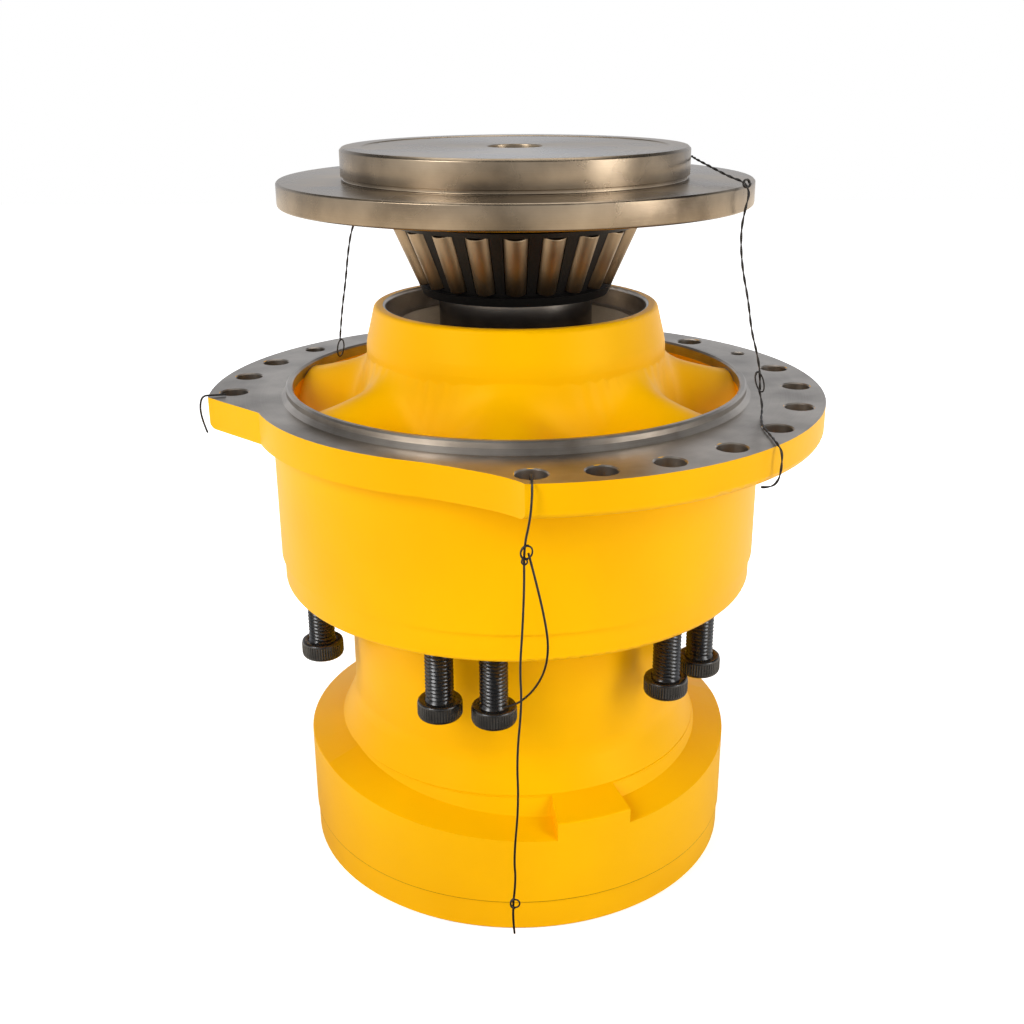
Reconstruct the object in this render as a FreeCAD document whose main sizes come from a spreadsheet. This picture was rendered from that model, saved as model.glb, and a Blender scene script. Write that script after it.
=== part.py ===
import FreeCAD, Part
import Sketcher
import math
import os
from FreeCAD import Vector

# Hydraulic drive motor of the radial piston kind, standing on its end cover.
# Millimetres. The axis of the machine is Z, the front of the machine is -Y, and angles are
# degrees round the axis, counted from the front towards +X.
# The output shaft stands drawn up out of its bearing and the case screws are backed out,
# which is how the machine is delivered.

doc = FreeCAD.newDocument("drive_motor")
sheet = doc.addObject("Spreadsheet::Sheet", "sizes")
row_count = 0


def size(name, value):
    """One cell of the sheet: a plain number, or a formula made of other cells."""
    global row_count
    row_count += 1
    sheet.set("A%d" % row_count, name)
    sheet.set("B%d" % row_count, str(value))
    sheet.setAlias("B%d" % row_count, name)


# Rear housing and end cover
size("cover_radius", 149.2)
size("cover_height", 22.2)
size("base_radius", 150)
size("ledge_edge", 80)
size("ledge_edge_round", 1.2)
size("ledge_foot", 88)
size("flare_radius", 127.5)
size("flare_top", 110)
size("flare_round", 24)
size("neck_radius", 117)
size("neck_round", 9)
size("case_ring_bottom", 200.2)
size("case_ring_height", 19.2)
size("case_joint", "=case_ring_bottom + case_ring_height")
size("case_ring_radius", 160.7)
size("case_ring_round", 3)
size("brake_bore_radius", 107)
size("brake_ceiling", 104)
size("valve_floor", 128)
size("shaft_passage_radius", 24)
size("valve_fit", 0.05)
size("valve_head_radius", 92)
size("valve_head_height", 16)
size("valve_step_height", 20)
size("valve_step", 8)
size("valve_head_bottom", "=case_joint - valve_head_height")
size("valve_second_bottom", "=valve_head_bottom - valve_step_height")
size("valve_third_bottom", "=valve_second_bottom - valve_step_height")
size("valve_second_radius", "=valve_head_radius - valve_step")
size("valve_third_radius", "=valve_second_radius - valve_step")
size("valve_foot_radius", "=valve_third_radius - valve_step")
size("valve_spring_height", 6)
size("valve_foot", "=valve_floor + valve_spring_height")

# Bearing support with its mounting flange
size("drum_radius", 162.5)
size("flange_bottom", 305.7)
size("flange_top", 326.3)
size("flange_radius", 203)
size("flange_fillet", 4)
size("spigot_radius", 152.5)
size("spigot_relief", 3)
size("spigot_top", 333.8)
size("spigot_chamfer", 1.2)
size("recess_radius", 148)
size("recess_bottom", 296)
size("collar_radius", 98.5)
size("collar_top", 383)
size("collar_lip_radius", 92.5)
size("collar_shoulder", 359)
size("collar_shoulder_round", 30)
size("collar_outer_round", 3)
size("collar_inner_round", 2)
size("bearing_bore_radius", 85.2)
size("outboard_shoulder", 331)
size("support_bore_radius", 64)
size("inboard_bore_radius", 72)
size("inboard_shoulder", 300)
size("cavity_ceiling", 275)
size("cam_shoulder", 264)
size("cam_shoulder_radius", 118)
size("cam_bore_radius", 126)

# Hills of the cast web between the collar and the spigot
size("web_hill_count", 7)
size("web_hill_angle", -3)
size("web_hill_at_collar", 343)
size("web_hill_at_rim", 330)
size("web_hill_blend", 9)
size("web_valley", 305)
size("web_collar_blend", 45)
size("web_rim_blend", 8)

# Flange: outline and holes
size("notch_corner_angle", -83.4)
size("notch_corner_radius", 206.4)
size("notch_root_angle", -68)
size("notch_radius", 173.5)
size("notch_end_angle", -20)
size("notch_ramp_angle", -9)
size("notch_ramp_radius", 180.5)
size("notch_exit_angle", 1)
size("flange_pitch_radius", 187)
size("flange_hole_radius", 9)
size("flange_hole_chamfer", 0.8)
size("tapped_hole_radius", 4.8)
size("dowel_hole_radius", 7.2)
size("dowel_hole_angle", -126)

# Case screws, M18 with low heads
size("screw_radius", 9)
size("screw_head_radius", 13.8)
size("screw_head_height", 12)
size("screw_length", 68)
size("screw_socket_flats", 14)
size("screw_socket_depth", 7)
size("screw_pitch_radius", 141.5)
size("screw_drawn", 38)
size("screw_hole_clearance", 0.6)
size("screw_hole_depth", 54)

# Cam ring, cylinder block, pistons and their rollers
size("cam_lobes", 6)
size("cam_mean_radius", 107)
size("cam_lobe_height", 5)
size("block_radius", 95)
size("block_bottom", 220)
size("block_top", 263)
size("piston_count", 8)
size("piston_radius", 14.5)
size("piston_fit", 0.03)
size("piston_foot", 62)
size("piston_head", 91)
size("cylinder_foot", 52)
size("cam_roller_radius", 8.5)
size("cam_roller_length", 22)
size("cam_roller_place", 91.5)
size("feed_radius", 4)
size("feed_pitch_radius", 66)

# Output shaft
size("plate_bottom", 447.3)
size("plate_height", 15)
size("plate_top", "=plate_bottom + plate_height")
size("plate_radius", 150)
size("plate_chamfer", 1)
size("pilot_radius", 110)
size("pilot_top", 481.6)
size("pilot_chamfer", 1.6)
size("pilot_groove_height", 2.4)
size("pilot_groove_depth", 1.6)
size("pilot_face_radius", 96)
size("pilot_face_depth", 0.6)
size("centre_hole_radius", 17.5)
size("centre_hole_depth", 34)
size("hub_radius", 68)
size("cone_seat_top", 443.5)
size("journal_radius", 45)
size("journal_bottom", 363)
size("inboard_journal_radius", 40)
size("inboard_journal_bottom", 336)
size("thread_radius", 36)
size("thread_bottom", 326)
size("shaft_end", 250)
size("spline_major", 33)
size("spline_minor", 30)
size("spline_teeth", 18)
size("spline_gap", 0.15)
size("bearing_fit", 0.03)
size("shaft_travel", 62.2)

# Outboard bearing, seal and spacer sleeve
size("cup_angle", 24)
size("cup_width", 38)
size("outer_roller_top", 433)
size("outer_roller_bottom", 397)
size("outer_roller_envelope", 80)
size("outer_roller_count", 20)
size("outer_roller_big_radius", 8)
size("roller_play", 0.05)
size("cone_foot", 390.5)
size("cage_wall", 2.4)
size("cage_foot", 390.5)
size("cage_head", 437.2)
size("cage_gap", 0.5)
size("seal_radius", 84.8)
size("seal_bottom", 440)
size("sleeve_radius", 50)
size("sleeve_round", 4)

# Inboard bearing and lock nut
size("inner_cup_angle", 20)
size("inner_cup_width", 22)
size("inner_roller_bottom", 279.5)
size("inner_roller_top", 297.5)
size("inner_roller_envelope", 66.5)
size("inner_roller_count", 24)
size("inner_roller_big_radius", 6)
size("inner_cone_bottom", 273.2)
size("inner_cone_top", 299.2)
size("nut_radius", 52)
size("nut_height", 8.8)
size("nut_gap", 0.4)
size("nut_slot_width", 9)

# Brake
size("brake_shaft_radius", 18)
size("brake_spline_minor", 16)
size("brake_spline_teeth", 12)
size("brake_shaft_top", 262)
size("brake_shaft_bottom", 30)
size("brake_socket_depth", 80)
size("hub_spline_major", 60)
size("hub_spline_minor", 57)
size("hub_spline_teeth", 30)
size("plate_stack_top", 103.7)
size("brake_plate_height", 3)
size("brake_disc_gap", 0.2)
size("brake_plate_outer", 103)
size("brake_plate_inner", 66)
size("brake_disc_outer", 92)
size("brake_disc_count", 5)
size("torque_pin_radius", 5)
size("torque_pin_pitch", 100)
size("torque_pin_count", 6)
size("piston_top", 61)
size("piston_bottom", 38)
size("brake_piston_bore", 40)
size("brake_piston_nose_outer", 90)
size("brake_piston_nose_inner", 72)
size("brake_piston_fit", 0.08)
size("disc_spring_outer", 96)
size("disc_spring_inner", 52)
size("disc_spring_thick", 4)
size("spring_seat_gap", 0.3)
size("plate_pitch", "=2 * (brake_plate_height + brake_disc_gap)")
size("stack_bottom", "=plate_stack_top - brake_plate_height - brake_disc_count * plate_pitch")
size("nose_top", "=stack_bottom - spring_seat_gap")

# Cover screws, pins, plugs, seals and ports
size("cover_screw_count", 10)
size("cover_screw_radius", 5)
size("cover_screw_head_radius", 8)
size("cover_screw_head_height", 10)
size("cover_screw_length", 30)
size("cover_screw_pitch", 139)
size("oring_radius", 1.8)
size("case_oring_pitch", 129)
size("cover_oring_pitch", 131)
size("release_plug_radius", 12)
size("port_face", 127)
size("port_pad_width", 108)
size("port_pad_bottom", 140)
size("port_pad_top", 194)
size("port_radius", 13.2)
size("port_spread", 28)
size("port_height", 176)
size("port_floor", 90)
size("port_gallery_radius", 6)
size("drain_radius", 9.2)
size("drain_floor", 78)
size("drain_gallery_radius", 4.5)
size("drain_height", 151)
size("brake_port_radius", 5.9)
size("brake_port_height", 70)
size("cast_pad_start", 9.5)
size("cast_pad_end", 28.7)
size("left_dip_start", -60)
size("left_dip_tilt", 4.9)
size("right_dip_end", 100)
size("right_dip_tilt", 4)
size("dowel_radius", 4)
size("dowel_length", 16)
size("cover_chamfer", 2)
size("seam_chamfer", 0.5)
size("cover_screw_play", 0.4)
size("cover_screw_sink", 1)
size("thread_play", 0.05)
size("valve_bore_radius", 37)
size("valve_bore_floor", 184)
size("valve_face_gap", 0.05)
size("valve_seal_depth", 2.6)
size("valve_seal_width", 3.6)
size("valve_seal_lift", 4)
size("cam_pin_radius", 3)
size("cam_pin_pitch", 116)
size("seal_step", 2)
size("small_rib", 2.2)
size("big_rib", 4)
size("rib_gap", 0.3)
size("rib_set", 0.9)
size("cup_end_gap", 0.8)
size("cage_rim_inset", 0.7)
size("outer_cage_inset", 4.8)
size("outer_cage_foot_band", 5.5)
size("outer_cage_head_band", 3)
size("inner_cage_inset", 3.6)
size("inner_cage_foot_band", 3)
size("inner_cage_head_band", 2.5)
size("inner_cage_bottom", 274)
size("inner_cage_top", 300.4)
size("wire_radius", 0.8)

doc.recompute()


def value(name):
    """The number in a cell."""
    return float(sheet.get(name))


def total(text):
    """The number that a sum such as 'drum_radius - case_ring_round' comes to."""
    words = text.split()
    amount = 0.0 if words[0] == "0" else value(words[0])
    for sign, name in zip(words[1::2], words[2::2]):
        amount += value(name) if sign == "+" else -value(name)
    return amount


def bound(text):
    """The same sum, written for a property that is bound to the sheet."""
    return " ".join(w if w in "+-0" else "sizes." + w for w in text.split())


def turned(label, points, rounds=(), bevels=()):
    """A body turned from a profile of (radius, height) corners."""
    body = doc.addObject("PartDesign::Body", label)
    sketch = body.newObject("Sketcher::SketchObject", label + "_profile")
    plane = [f for f in body.Origin.OriginFeatures if f.Role == "XZ_Plane"][0]
    sketch.AttachmentSupport = (plane, [""])
    sketch.MapMode = "FlatFace"
    corners = [Vector(total(r), total(z), 0) for r, z in points]
    count = len(corners)
    for i in range(count):
        sketch.addGeometry(Part.LineSegment(corners[i], corners[(i + 1) % count]), False)
    for i in range(count):
        sketch.addConstraint(Sketcher.Constraint("Coincident", i, 2, (i + 1) % count, 1))
    for i, (r, z) in enumerate(points):
        for kind, text, axis in (("DistanceX", r, -2), ("DistanceY", z, -1)):
            if text == "0":
                sketch.addConstraint(Sketcher.Constraint("PointOnObject", i, 1, axis))
                continue
            place = sketch.addConstraint(Sketcher.Constraint(kind, -1, 1, i, 1, total(text)))
            sketch.setExpression("Constraints[%d]" % place, bound(text))
    turn = body.newObject("PartDesign::Revolution", label + "_turn")
    turn.Profile = sketch
    turn.ReferenceAxis = (sketch, ["V_Axis"])
    turn.Angle = 360
    doc.recompute()
    for kind, edits in (("Fillet", rounds), ("Chamfer", bevels)):
        for r, z, amount in edits:
            soften(body, kind, r, z, amount)
    return body


def soften(body, kind, r, z, amount):
    """A fillet or chamfer on the circular edge at this radius and height."""
    base = body.Tip
    names = []
    for number, edge in enumerate(base.Shape.Edges, 1):
        curve = edge.Curve
        if not isinstance(curve, Part.Circle):
            continue
        if abs(curve.Radius - total(r)) < 0.01 and abs(curve.Center.z - total(z)) < 0.01:
            names.append("Edge%d" % number)
    feature = body.newObject("PartDesign::" + kind, "%s_%s_%d" % (body.Name, kind.lower(), len(names)))
    feature.Base = (base, names)
    feature.setExpression("Radius" if kind == "Fillet" else "Size", bound(amount))
    doc.recompute()


def cylinder(label, radius, bottom, height, pitch="0", angle=0.0):
    """An upright cylinder on a pitch circle."""
    body = doc.addObject("Part::Cylinder", label)
    body.setExpression("Radius", bound(radius))
    body.setExpression("Height", bound(height))
    body.setExpression("Placement.Base.z", bound(bottom))
    if pitch != "0":
        body.setExpression("Placement.Base.x", "(%s) * %.9f" % (bound(pitch), math.sin(math.radians(angle))))
        body.setExpression("Placement.Base.y", "(%s) * %.9f" % (bound(pitch), -math.cos(math.radians(angle))))
    return body


def cut(label, base, tools):
    """The base with every tool taken out of it."""
    gang = doc.addObject("Part::Compound", label + "_tools")
    gang.Links = tools
    result = doc.addObject("Part::Cut", label)
    result.Base = base
    result.Tool = gang
    return result


def shaped(label, shape):
    """A piece whose shape is worked out with solid functions from the sheet."""
    piece = doc.addObject("Part::Feature", label)
    piece.Shape = shape
    return piece


def polar(radius, angle, height=0.0):
    """The point at this radius, angle from the front, and height."""
    turn = math.radians(angle)
    return Vector(radius * math.sin(turn), -radius * math.cos(turn), height)


def spun(solid, angle):
    """A copy of the solid turned round the machine's axis."""
    copy = solid.copy()
    copy.rotate(Vector(0, 0, 0), Vector(0, 0, 1), angle)
    return copy


def ring_of(solid, count, first=0.0):
    """Copies of the solid, evenly round the axis."""
    return Part.makeCompound([spun(solid, first + 360.0 * i / count) for i in range(count)])


def washer(outer, inner, bottom, height):
    """A flat ring."""
    ring = Part.makeCylinder(outer, height, Vector(0, 0, bottom))
    return ring.cut(Part.makeCylinder(inner, height, Vector(0, 0, bottom)))


def revolved(points):
    """A ring with this (radius, height) section, for loops of rings."""
    corners = [Vector(r, 0, z) for r, z in points]
    face = Part.Face(Part.makePolygon(corners + corners[:1]))
    return face.revolve(Vector(0, 0, 0), Vector(0, 0, 1), 360)


def spline_prism(minor, major, teeth, bottom, height, ease=0.0):
    """A splined bar. For the hole that it slides in, ease is the gap on every side."""
    points = []
    half_tooth = 360.0 / teeth / 4
    for i in range(teeth):
        centre = 360.0 * i / teeth
        widen = math.degrees(ease / minor)
        for radius, angle in (
            (minor + ease, centre - half_tooth - widen - half_tooth * 0.15),
            (major + ease, centre - half_tooth - widen + half_tooth * 0.15),
            (major + ease, centre + half_tooth + widen - half_tooth * 0.15),
            (minor + ease, centre + half_tooth + widen + half_tooth * 0.15),
        ):
            points.append(polar(radius, angle, bottom))
    face = Part.Face(Part.makePolygon(points + points[:1]))
    return face.extrude(Vector(0, 0, height))


# Bearing support: one casting with the mounting flange, the spigot and the bearing collar.
support_turned = turned(
    "bearing_support_turned",
    [
        ("cam_bore_radius", "case_joint"),
        ("drum_radius", "case_joint"),
        ("drum_radius", "flange_bottom"),
        ("flange_radius", "flange_bottom"),
        ("flange_radius", "flange_top"),
        ("spigot_radius + spigot_relief", "flange_top"),
        ("spigot_radius", "flange_top + spigot_relief"),
        ("spigot_radius", "spigot_top"),
        ("recess_radius", "spigot_top"),
        ("recess_radius", "recess_bottom"),
        ("collar_radius", "recess_bottom"),
        ("collar_radius", "collar_shoulder"),
        ("collar_lip_radius", "collar_top"),
        ("bearing_bore_radius", "collar_top"),
        ("bearing_bore_radius", "outboard_shoulder"),
        ("support_bore_radius", "outboard_shoulder"),
        ("support_bore_radius", "inboard_shoulder"),
        ("inboard_bore_radius", "inboard_shoulder"),
        ("inboard_bore_radius", "cavity_ceiling"),
        ("cam_shoulder_radius", "cavity_ceiling"),
        ("cam_shoulder_radius", "cam_shoulder"),
        ("cam_bore_radius", "cam_shoulder"),
    ],
    rounds=[
        ("drum_radius", "flange_bottom", "flange_fillet"),
        ("flange_radius", "flange_bottom", "flange_fillet"),
        ("collar_radius", "collar_shoulder", "collar_shoulder_round"),
        ("collar_lip_radius", "collar_top", "collar_outer_round"),
        ("bearing_bore_radius", "collar_top", "collar_inner_round"),
    ],
    bevels=[
        ("spigot_radius", "spigot_top", "spigot_chamfer"),
        ("recess_radius", "spigot_top", "spigot_chamfer"),
    ],
)


def web_height(x, y):
    """Height of the cast web: hills that run down from the collar to the rim, and hollows."""
    collar, rim = value("collar_radius"), value("recess_radius")
    radius = max(math.hypot(x, y), 1.0)
    out = min(max((radius - collar) / (rim - collar), -0.1), 1.15)
    angle = math.degrees(math.atan2(x, -y)) - value("web_hill_angle")
    wave = 0.5 + 0.5 * math.cos(math.radians(angle * round(value("web_hill_count"))))
    calm = min(max((radius - 40.0) / 50.0, 0.0), 1.0)
    valley = value("web_valley")
    valley += value("web_collar_blend") * math.exp(-out * 6.0)
    valley += value("web_rim_blend") * math.exp(-(1.15 - out) * 9.0)
    drop = value("web_hill_at_collar") - value("web_hill_at_rim")
    hill = value("web_hill_at_rim") + drop * (1.0 - min(out, 1.0)) ** 1.2
    hill += value("web_hill_blend") * math.exp(-out * 9.0)
    return valley + (hill - valley) * wave * calm * calm * (3 - 2 * calm)


def web_solid():
    """The web between the collar and the rim, up to its wavy cast surface."""
    reach = value("recess_radius") + 12.0
    steps = 64
    grid = []
    for i in range(steps + 1):
        x = -reach + 2 * reach * i / steps
        line = []
        for k in range(steps + 1):
            y = -reach + 2 * reach * k / steps
            line.append(Vector(x, y, web_height(x, y)))
        grid.append(line)
    surface = Part.BSplineSurface()
    surface.interpolate(grid)
    block = surface.toShape().extrude(Vector(0, 0, -90))
    lap = 1.0
    height = value("collar_top") - value("recess_bottom")
    outer, inner = value("recess_radius") + lap, value("collar_radius") - lap
    return block.common(washer(outer, inner, value("recess_bottom") - lap, height))


def notch_tool():
    """What the flange has lost at the front left, where it clears its neighbour."""
    far = value("flange_radius") + 40.0
    corner = polar(value("notch_corner_radius"), value("notch_corner_angle"))
    root = polar(value("notch_radius"), value("notch_root_angle"))
    outside = corner + (corner - root).multiply(0.5)
    end = polar(value("notch_radius"), value("notch_end_angle"))
    middle = polar(value("notch_radius"), 0.5 * (value("notch_root_angle") + value("notch_end_angle")))
    ramp = polar(value("notch_ramp_radius"), value("notch_ramp_angle"))
    exit_point = polar(value("flange_radius"), value("notch_exit_angle"))
    beyond = polar(far, value("notch_exit_angle") + 3)
    tangent = polar(1, value("notch_end_angle") + 90)
    curve = Part.BSplineCurve()
    stops = [end, ramp, exit_point, beyond]
    curve.interpolate(Points=stops, InitialTangent=tangent, FinalTangent=beyond - exit_point)
    edges = [
        Part.LineSegment(outside, root).toShape(),
        Part.Arc(root, middle, end).toShape(),
        curve.toShape(),
        Part.LineSegment(beyond, polar(far * 1.5, -45)).toShape(),
        Part.LineSegment(polar(far * 1.5, -45), outside).toShape(),
    ]
    face = Part.Face(Part.Wire(edges))
    bottom = value("flange_bottom") - value("flange_fillet") - 2
    solid = face.extrude(Vector(0, 0, value("flange_top") - bottom + 5))
    solid.translate(Vector(0, 0, bottom))
    keep = Part.makeCylinder(value("drum_radius"), 60, Vector(0, 0, bottom - 5))
    return solid.cut(keep)


flange_hole_angles = [2.2, 14, 26.5, 40.5, 56, 72, 88, 103.3]
flange_hole_angles += [134, 150, 166, 182, 198, 214, 248.2, 261.4, 274.4]
tapped_hole_angle = 118.4
case_screw_angles = [-100, -70, -20, -6, 42, 58, 100, 116, 148, 212, 228, 244]


def drilled(radius, place, bevel):
    """A drill for one upright hole through the flange, with a bevelled rim."""
    bottom = value("flange_bottom") - 2
    top = value("flange_top")
    drill = Part.makeCylinder(radius, top - bottom + 4, Vector(place.x, place.y, bottom))
    rim = Part.makeCone(radius, radius + 2 * bevel, 2 * bevel, Vector(place.x, place.y, top - bevel))
    return drill.fuse(rim)


flange_drills = []
for angle in flange_hole_angles:
    spot = polar(value("flange_pitch_radius"), angle)
    flange_drills.append(drilled(value("flange_hole_radius"), spot, value("flange_hole_chamfer")))
for radius, angle in (
    (value("tapped_hole_radius"), tapped_hole_angle),
    (value("dowel_hole_radius"), value("dowel_hole_angle")),
):
    spot = polar(value("flange_pitch_radius"), angle)
    flange_drills.append(drilled(radius, spot, value("flange_hole_chamfer")))

web = shaped("bearing_support_web", web_solid())
support_body = doc.addObject("Part::Fuse", "bearing_support_body")
support_body.Base = support_turned
support_body.Tool = web
notch = shaped("flange_notch", notch_tool())
flange_holes = shaped("flange_drills", Part.makeCompound(flange_drills))
screw_taps = []
for number, angle in enumerate(case_screw_angles):
    screw_taps.append(
        cylinder(
            "case_screw_tap_%d" % number,
            "screw_radius + screw_hole_clearance",
            "case_joint",
            "screw_hole_depth",
            "screw_pitch_radius",
            angle,
        )
    )

# Rear housing: ring, neck, shoulder and brake chamber in one casting.
rear_turned = turned(
    "rear_housing_turned",
    [
        ("brake_bore_radius", "cover_height"),
        ("base_radius", "cover_height"),
        ("base_radius", "ledge_edge"),
        ("flare_radius", "ledge_foot"),
        ("neck_radius", "flare_top"),
        ("neck_radius", "case_ring_bottom"),
        ("case_ring_radius", "case_ring_bottom"),
        ("case_ring_radius", "case_joint"),
        ("valve_head_radius", "case_joint"),
        ("valve_head_radius", "valve_head_bottom"),
        ("valve_second_radius", "valve_head_bottom"),
        ("valve_second_radius", "valve_second_bottom"),
        ("valve_third_radius", "valve_second_bottom"),
        ("valve_third_radius", "valve_third_bottom"),
        ("valve_foot_radius", "valve_third_bottom"),
        ("valve_foot_radius", "valve_floor"),
        ("shaft_passage_radius", "valve_floor"),
        ("shaft_passage_radius", "brake_ceiling"),
        ("brake_bore_radius", "brake_ceiling"),
    ],
    rounds=[
        ("base_radius", "ledge_edge", "ledge_edge_round"),
        ("neck_radius", "flare_top", "flare_round"),
        ("neck_radius", "case_ring_bottom", "neck_round"),
        ("case_ring_radius", "case_ring_bottom", "case_ring_round"),
    ],
)


def ledge_dip(pivot, tilt, start, end):
    """What the ledge lacks between two angles, where it dips away from its level at the pivot."""
    edge, foot = value("base_radius"), value("flare_radius")
    fall = (value("ledge_foot") - value("ledge_edge")) / (edge - foot)
    low = value("ledge_edge") - 10 * fall
    above = revolved([(foot, value("ledge_foot")), (edge + 10, low), (edge + 10, 125), (foot, 125)])
    above.rotate(Vector(0, 0, value("ledge_edge")), polar(1, pivot, 0), tilt)
    spread = (value("flare_radius") - value("neck_radius")) / (value("flare_top") - value("ledge_foot"))
    flare = Part.makeCone(value("neck_radius") + 50 * spread, value("neck_radius"), 50)
    flare.translate(Vector(0, 0, value("flare_top") - 50))
    neck = Part.makeCylinder(value("neck_radius"), 20, Vector(0, 0, value("flare_top")))
    wedge = Part.makeCylinder(edge + 20, 120, Vector(0, 0, 20), Vector(0, 0, 1), end - start)
    return above.common(spun(wedge, start - 90)).cut(flare.fuse(neck))


def port_pad():
    """The flat block at the back of the neck that carries the main ports."""
    width, low, high = value("port_pad_width"), value("port_pad_bottom"), value("port_pad_top")
    block = Part.makeBox(width, value("port_face") - 90, high - low, Vector(-width / 2, 90, low))
    upright = []
    for edge in block.Edges:
        first, last = edge.Vertexes[0], edge.Vertexes[1]
        if abs(first.Z - last.Z) > 1 and first.Y > 100:
            upright.append(edge)
    block = block.makeFillet(10, upright)
    return block.cut(Part.makeCylinder(value("neck_radius") - 8, high, Vector(0, 0, 0)))


def port_drill(radius, x, height, inner, outer):
    """A port drilled from the back, along Y."""
    return Part.makeCylinder(radius, outer - inner, Vector(x, inner, height), Vector(0, 1, 0))


pads = doc.addObject("Part::MultiFuse", "rear_housing_body")
pads.Shapes = [rear_turned, shaped("port_pad", port_pad())]
left_tilt, right_tilt = value("left_dip_tilt"), value("right_dip_tilt")
left_start, right_end = value("left_dip_start"), value("right_dip_end")
left_dip = shaped("left_dip", ledge_dip(left_start, -left_tilt, left_start, value("cast_pad_start")))
right_dip = shaped("right_dip", ledge_dip(right_end, right_tilt, value("cast_pad_end"), right_end))
port_radius, spread, port_height = value("port_radius"), value("port_spread"), value("port_height")
port_floor, drain_floor = value("port_floor"), value("drain_floor")
pad_end, base_end = value("port_face") + 5, value("base_radius") + 5
port_drills = shaped(
    "port_drills",
    Part.makeCompound(
        [
            port_drill(port_radius, -spread, port_height, port_floor, pad_end),
            port_drill(port_radius, spread, port_height, port_floor, pad_end),
            port_drill(value("port_gallery_radius"), -spread, port_height, 70, port_floor),
            port_drill(value("port_gallery_radius"), spread, port_height, 70, port_floor),
            port_drill(value("drain_radius"), 0, value("drain_height"), drain_floor, pad_end),
            port_drill(value("drain_gallery_radius"), 0, value("drain_height"), 60, drain_floor),
            port_drill(value("brake_port_radius"), 0, value("brake_port_height"), 100, base_end),
        ]
    ),
)
screw_holes = []
for number, angle in enumerate(case_screw_angles):
    screw_holes.append(
        cylinder(
            "case_screw_hole_%d" % number,
            "screw_radius + screw_hole_clearance",
            "case_ring_bottom - neck_round",
            "case_ring_height + neck_round",
            "screw_pitch_radius",
            angle,
        )
    )
cover_screw_step = 360.0 / round(value("cover_screw_count"))
cover_screw_angles = [cover_screw_step * (i + 0.5) for i in range(round(value("cover_screw_count")))]
cover_taps = []
for number, angle in enumerate(cover_screw_angles):
    cover_taps.append(
        cylinder(
            "cover_tap_%d" % number,
            "cover_screw_radius",
            "cover_height",
            "cover_screw_length",
            "cover_screw_pitch",
            angle,
        )
    )
pin_sockets = shaped(
    "torque_pin_sockets",
    ring_of(
        Part.makeCylinder(
            value("torque_pin_radius"), 12, polar(value("torque_pin_pitch"), 0, value("brake_ceiling"))
        ),
        round(value("torque_pin_count")),
    ),
)
dowel_angles = [19, 140]
dowel_holes = shaped(
    "dowel_holes",
    Part.makeCompound(
        [
            Part.makeCylinder(
                value("dowel_radius"),
                value("dowel_length"),
                polar(value("screw_pitch_radius"), angle, value("case_joint") - value("dowel_length") / 2),
            )
            for angle in dowel_angles
        ]
    ),
)
case_oring_groove = shaped(
    "case_oring_groove",
    washer(
        value("case_oring_pitch") + value("oring_radius"),
        value("case_oring_pitch") - value("oring_radius"),
        value("case_joint") - 2 * value("oring_radius"),
        2 * value("oring_radius"),
    ),
)
rear_housing = cut(
    "rear_housing",
    pads,
    [left_dip, right_dip, port_drills, pin_sockets, dowel_holes, case_oring_groove]
    + screw_holes
    + cover_taps,
)
dowel_sockets = shaped("dowel_sockets", dowel_holes.Shape)
bearing_support = cut("bearing_support", support_body, [notch, flange_holes, dowel_sockets] + screw_taps)

# Dowels and the seal between the two castings
case_dowels = shaped("case_dowels", dowel_holes.Shape)
case_oring = doc.addObject("Part::Torus", "case_oring")
case_oring.setExpression("Radius1", "sizes.case_oring_pitch")
case_oring.setExpression("Radius2", "sizes.oring_radius")
case_oring.setExpression("Placement.Base.z", "sizes.case_joint - sizes.oring_radius")

# End cover with its screws, plug and seal
cover_turned = turned(
    "end_cover_turned",
    [
        ("0", "0"),
        ("cover_radius", "0"),
        ("cover_radius", "cover_height"),
        ("0", "cover_height"),
    ],
    bevels=[("cover_radius", "0", "cover_chamfer"), ("cover_radius", "cover_height", "seam_chamfer")],
)
cover_drills = []
for number, angle in enumerate(cover_screw_angles):
    cover_drills.append(
        cylinder(
            "cover_drill_%d" % number,
            "cover_screw_radius + cover_screw_play",
            "0",
            "cover_height",
            "cover_screw_pitch",
            angle,
        )
    )
    cover_drills.append(
        cylinder(
            "cover_counterbore_%d" % number,
            "cover_screw_head_radius + cover_screw_play",
            "0",
            "cover_screw_head_height + cover_screw_sink",
            "cover_screw_pitch",
            angle,
        )
    )
cover_groove = shaped(
    "cover_oring_groove",
    washer(
        value("cover_oring_pitch") + value("oring_radius"),
        value("cover_oring_pitch") - value("oring_radius"),
        value("cover_height") - 2 * value("oring_radius"),
        2 * value("oring_radius"),
    ),
)
plug_hole = cylinder("release_plug_hole", "release_plug_radius", "0", "cover_height")
end_cover = cut("end_cover", cover_turned, cover_drills + [cover_groove, plug_hole])
cover_oring = doc.addObject("Part::Torus", "cover_oring")
cover_oring.setExpression("Radius1", "sizes.cover_oring_pitch")
cover_oring.setExpression("Radius2", "sizes.oring_radius")
cover_oring.setExpression("Placement.Base.z", "sizes.cover_height - sizes.oring_radius")


def hexagon(flats, bottom, height, centre=Vector(0, 0, 0)):
    """A hexagonal bar, for the sockets of screws and plugs."""
    corner = flats / math.sqrt(3)
    points = [centre + polar(corner, 60 * i, bottom) for i in range(6)]
    return Part.Face(Part.makePolygon(points + points[:1])).extrude(Vector(0, 0, height))


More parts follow.
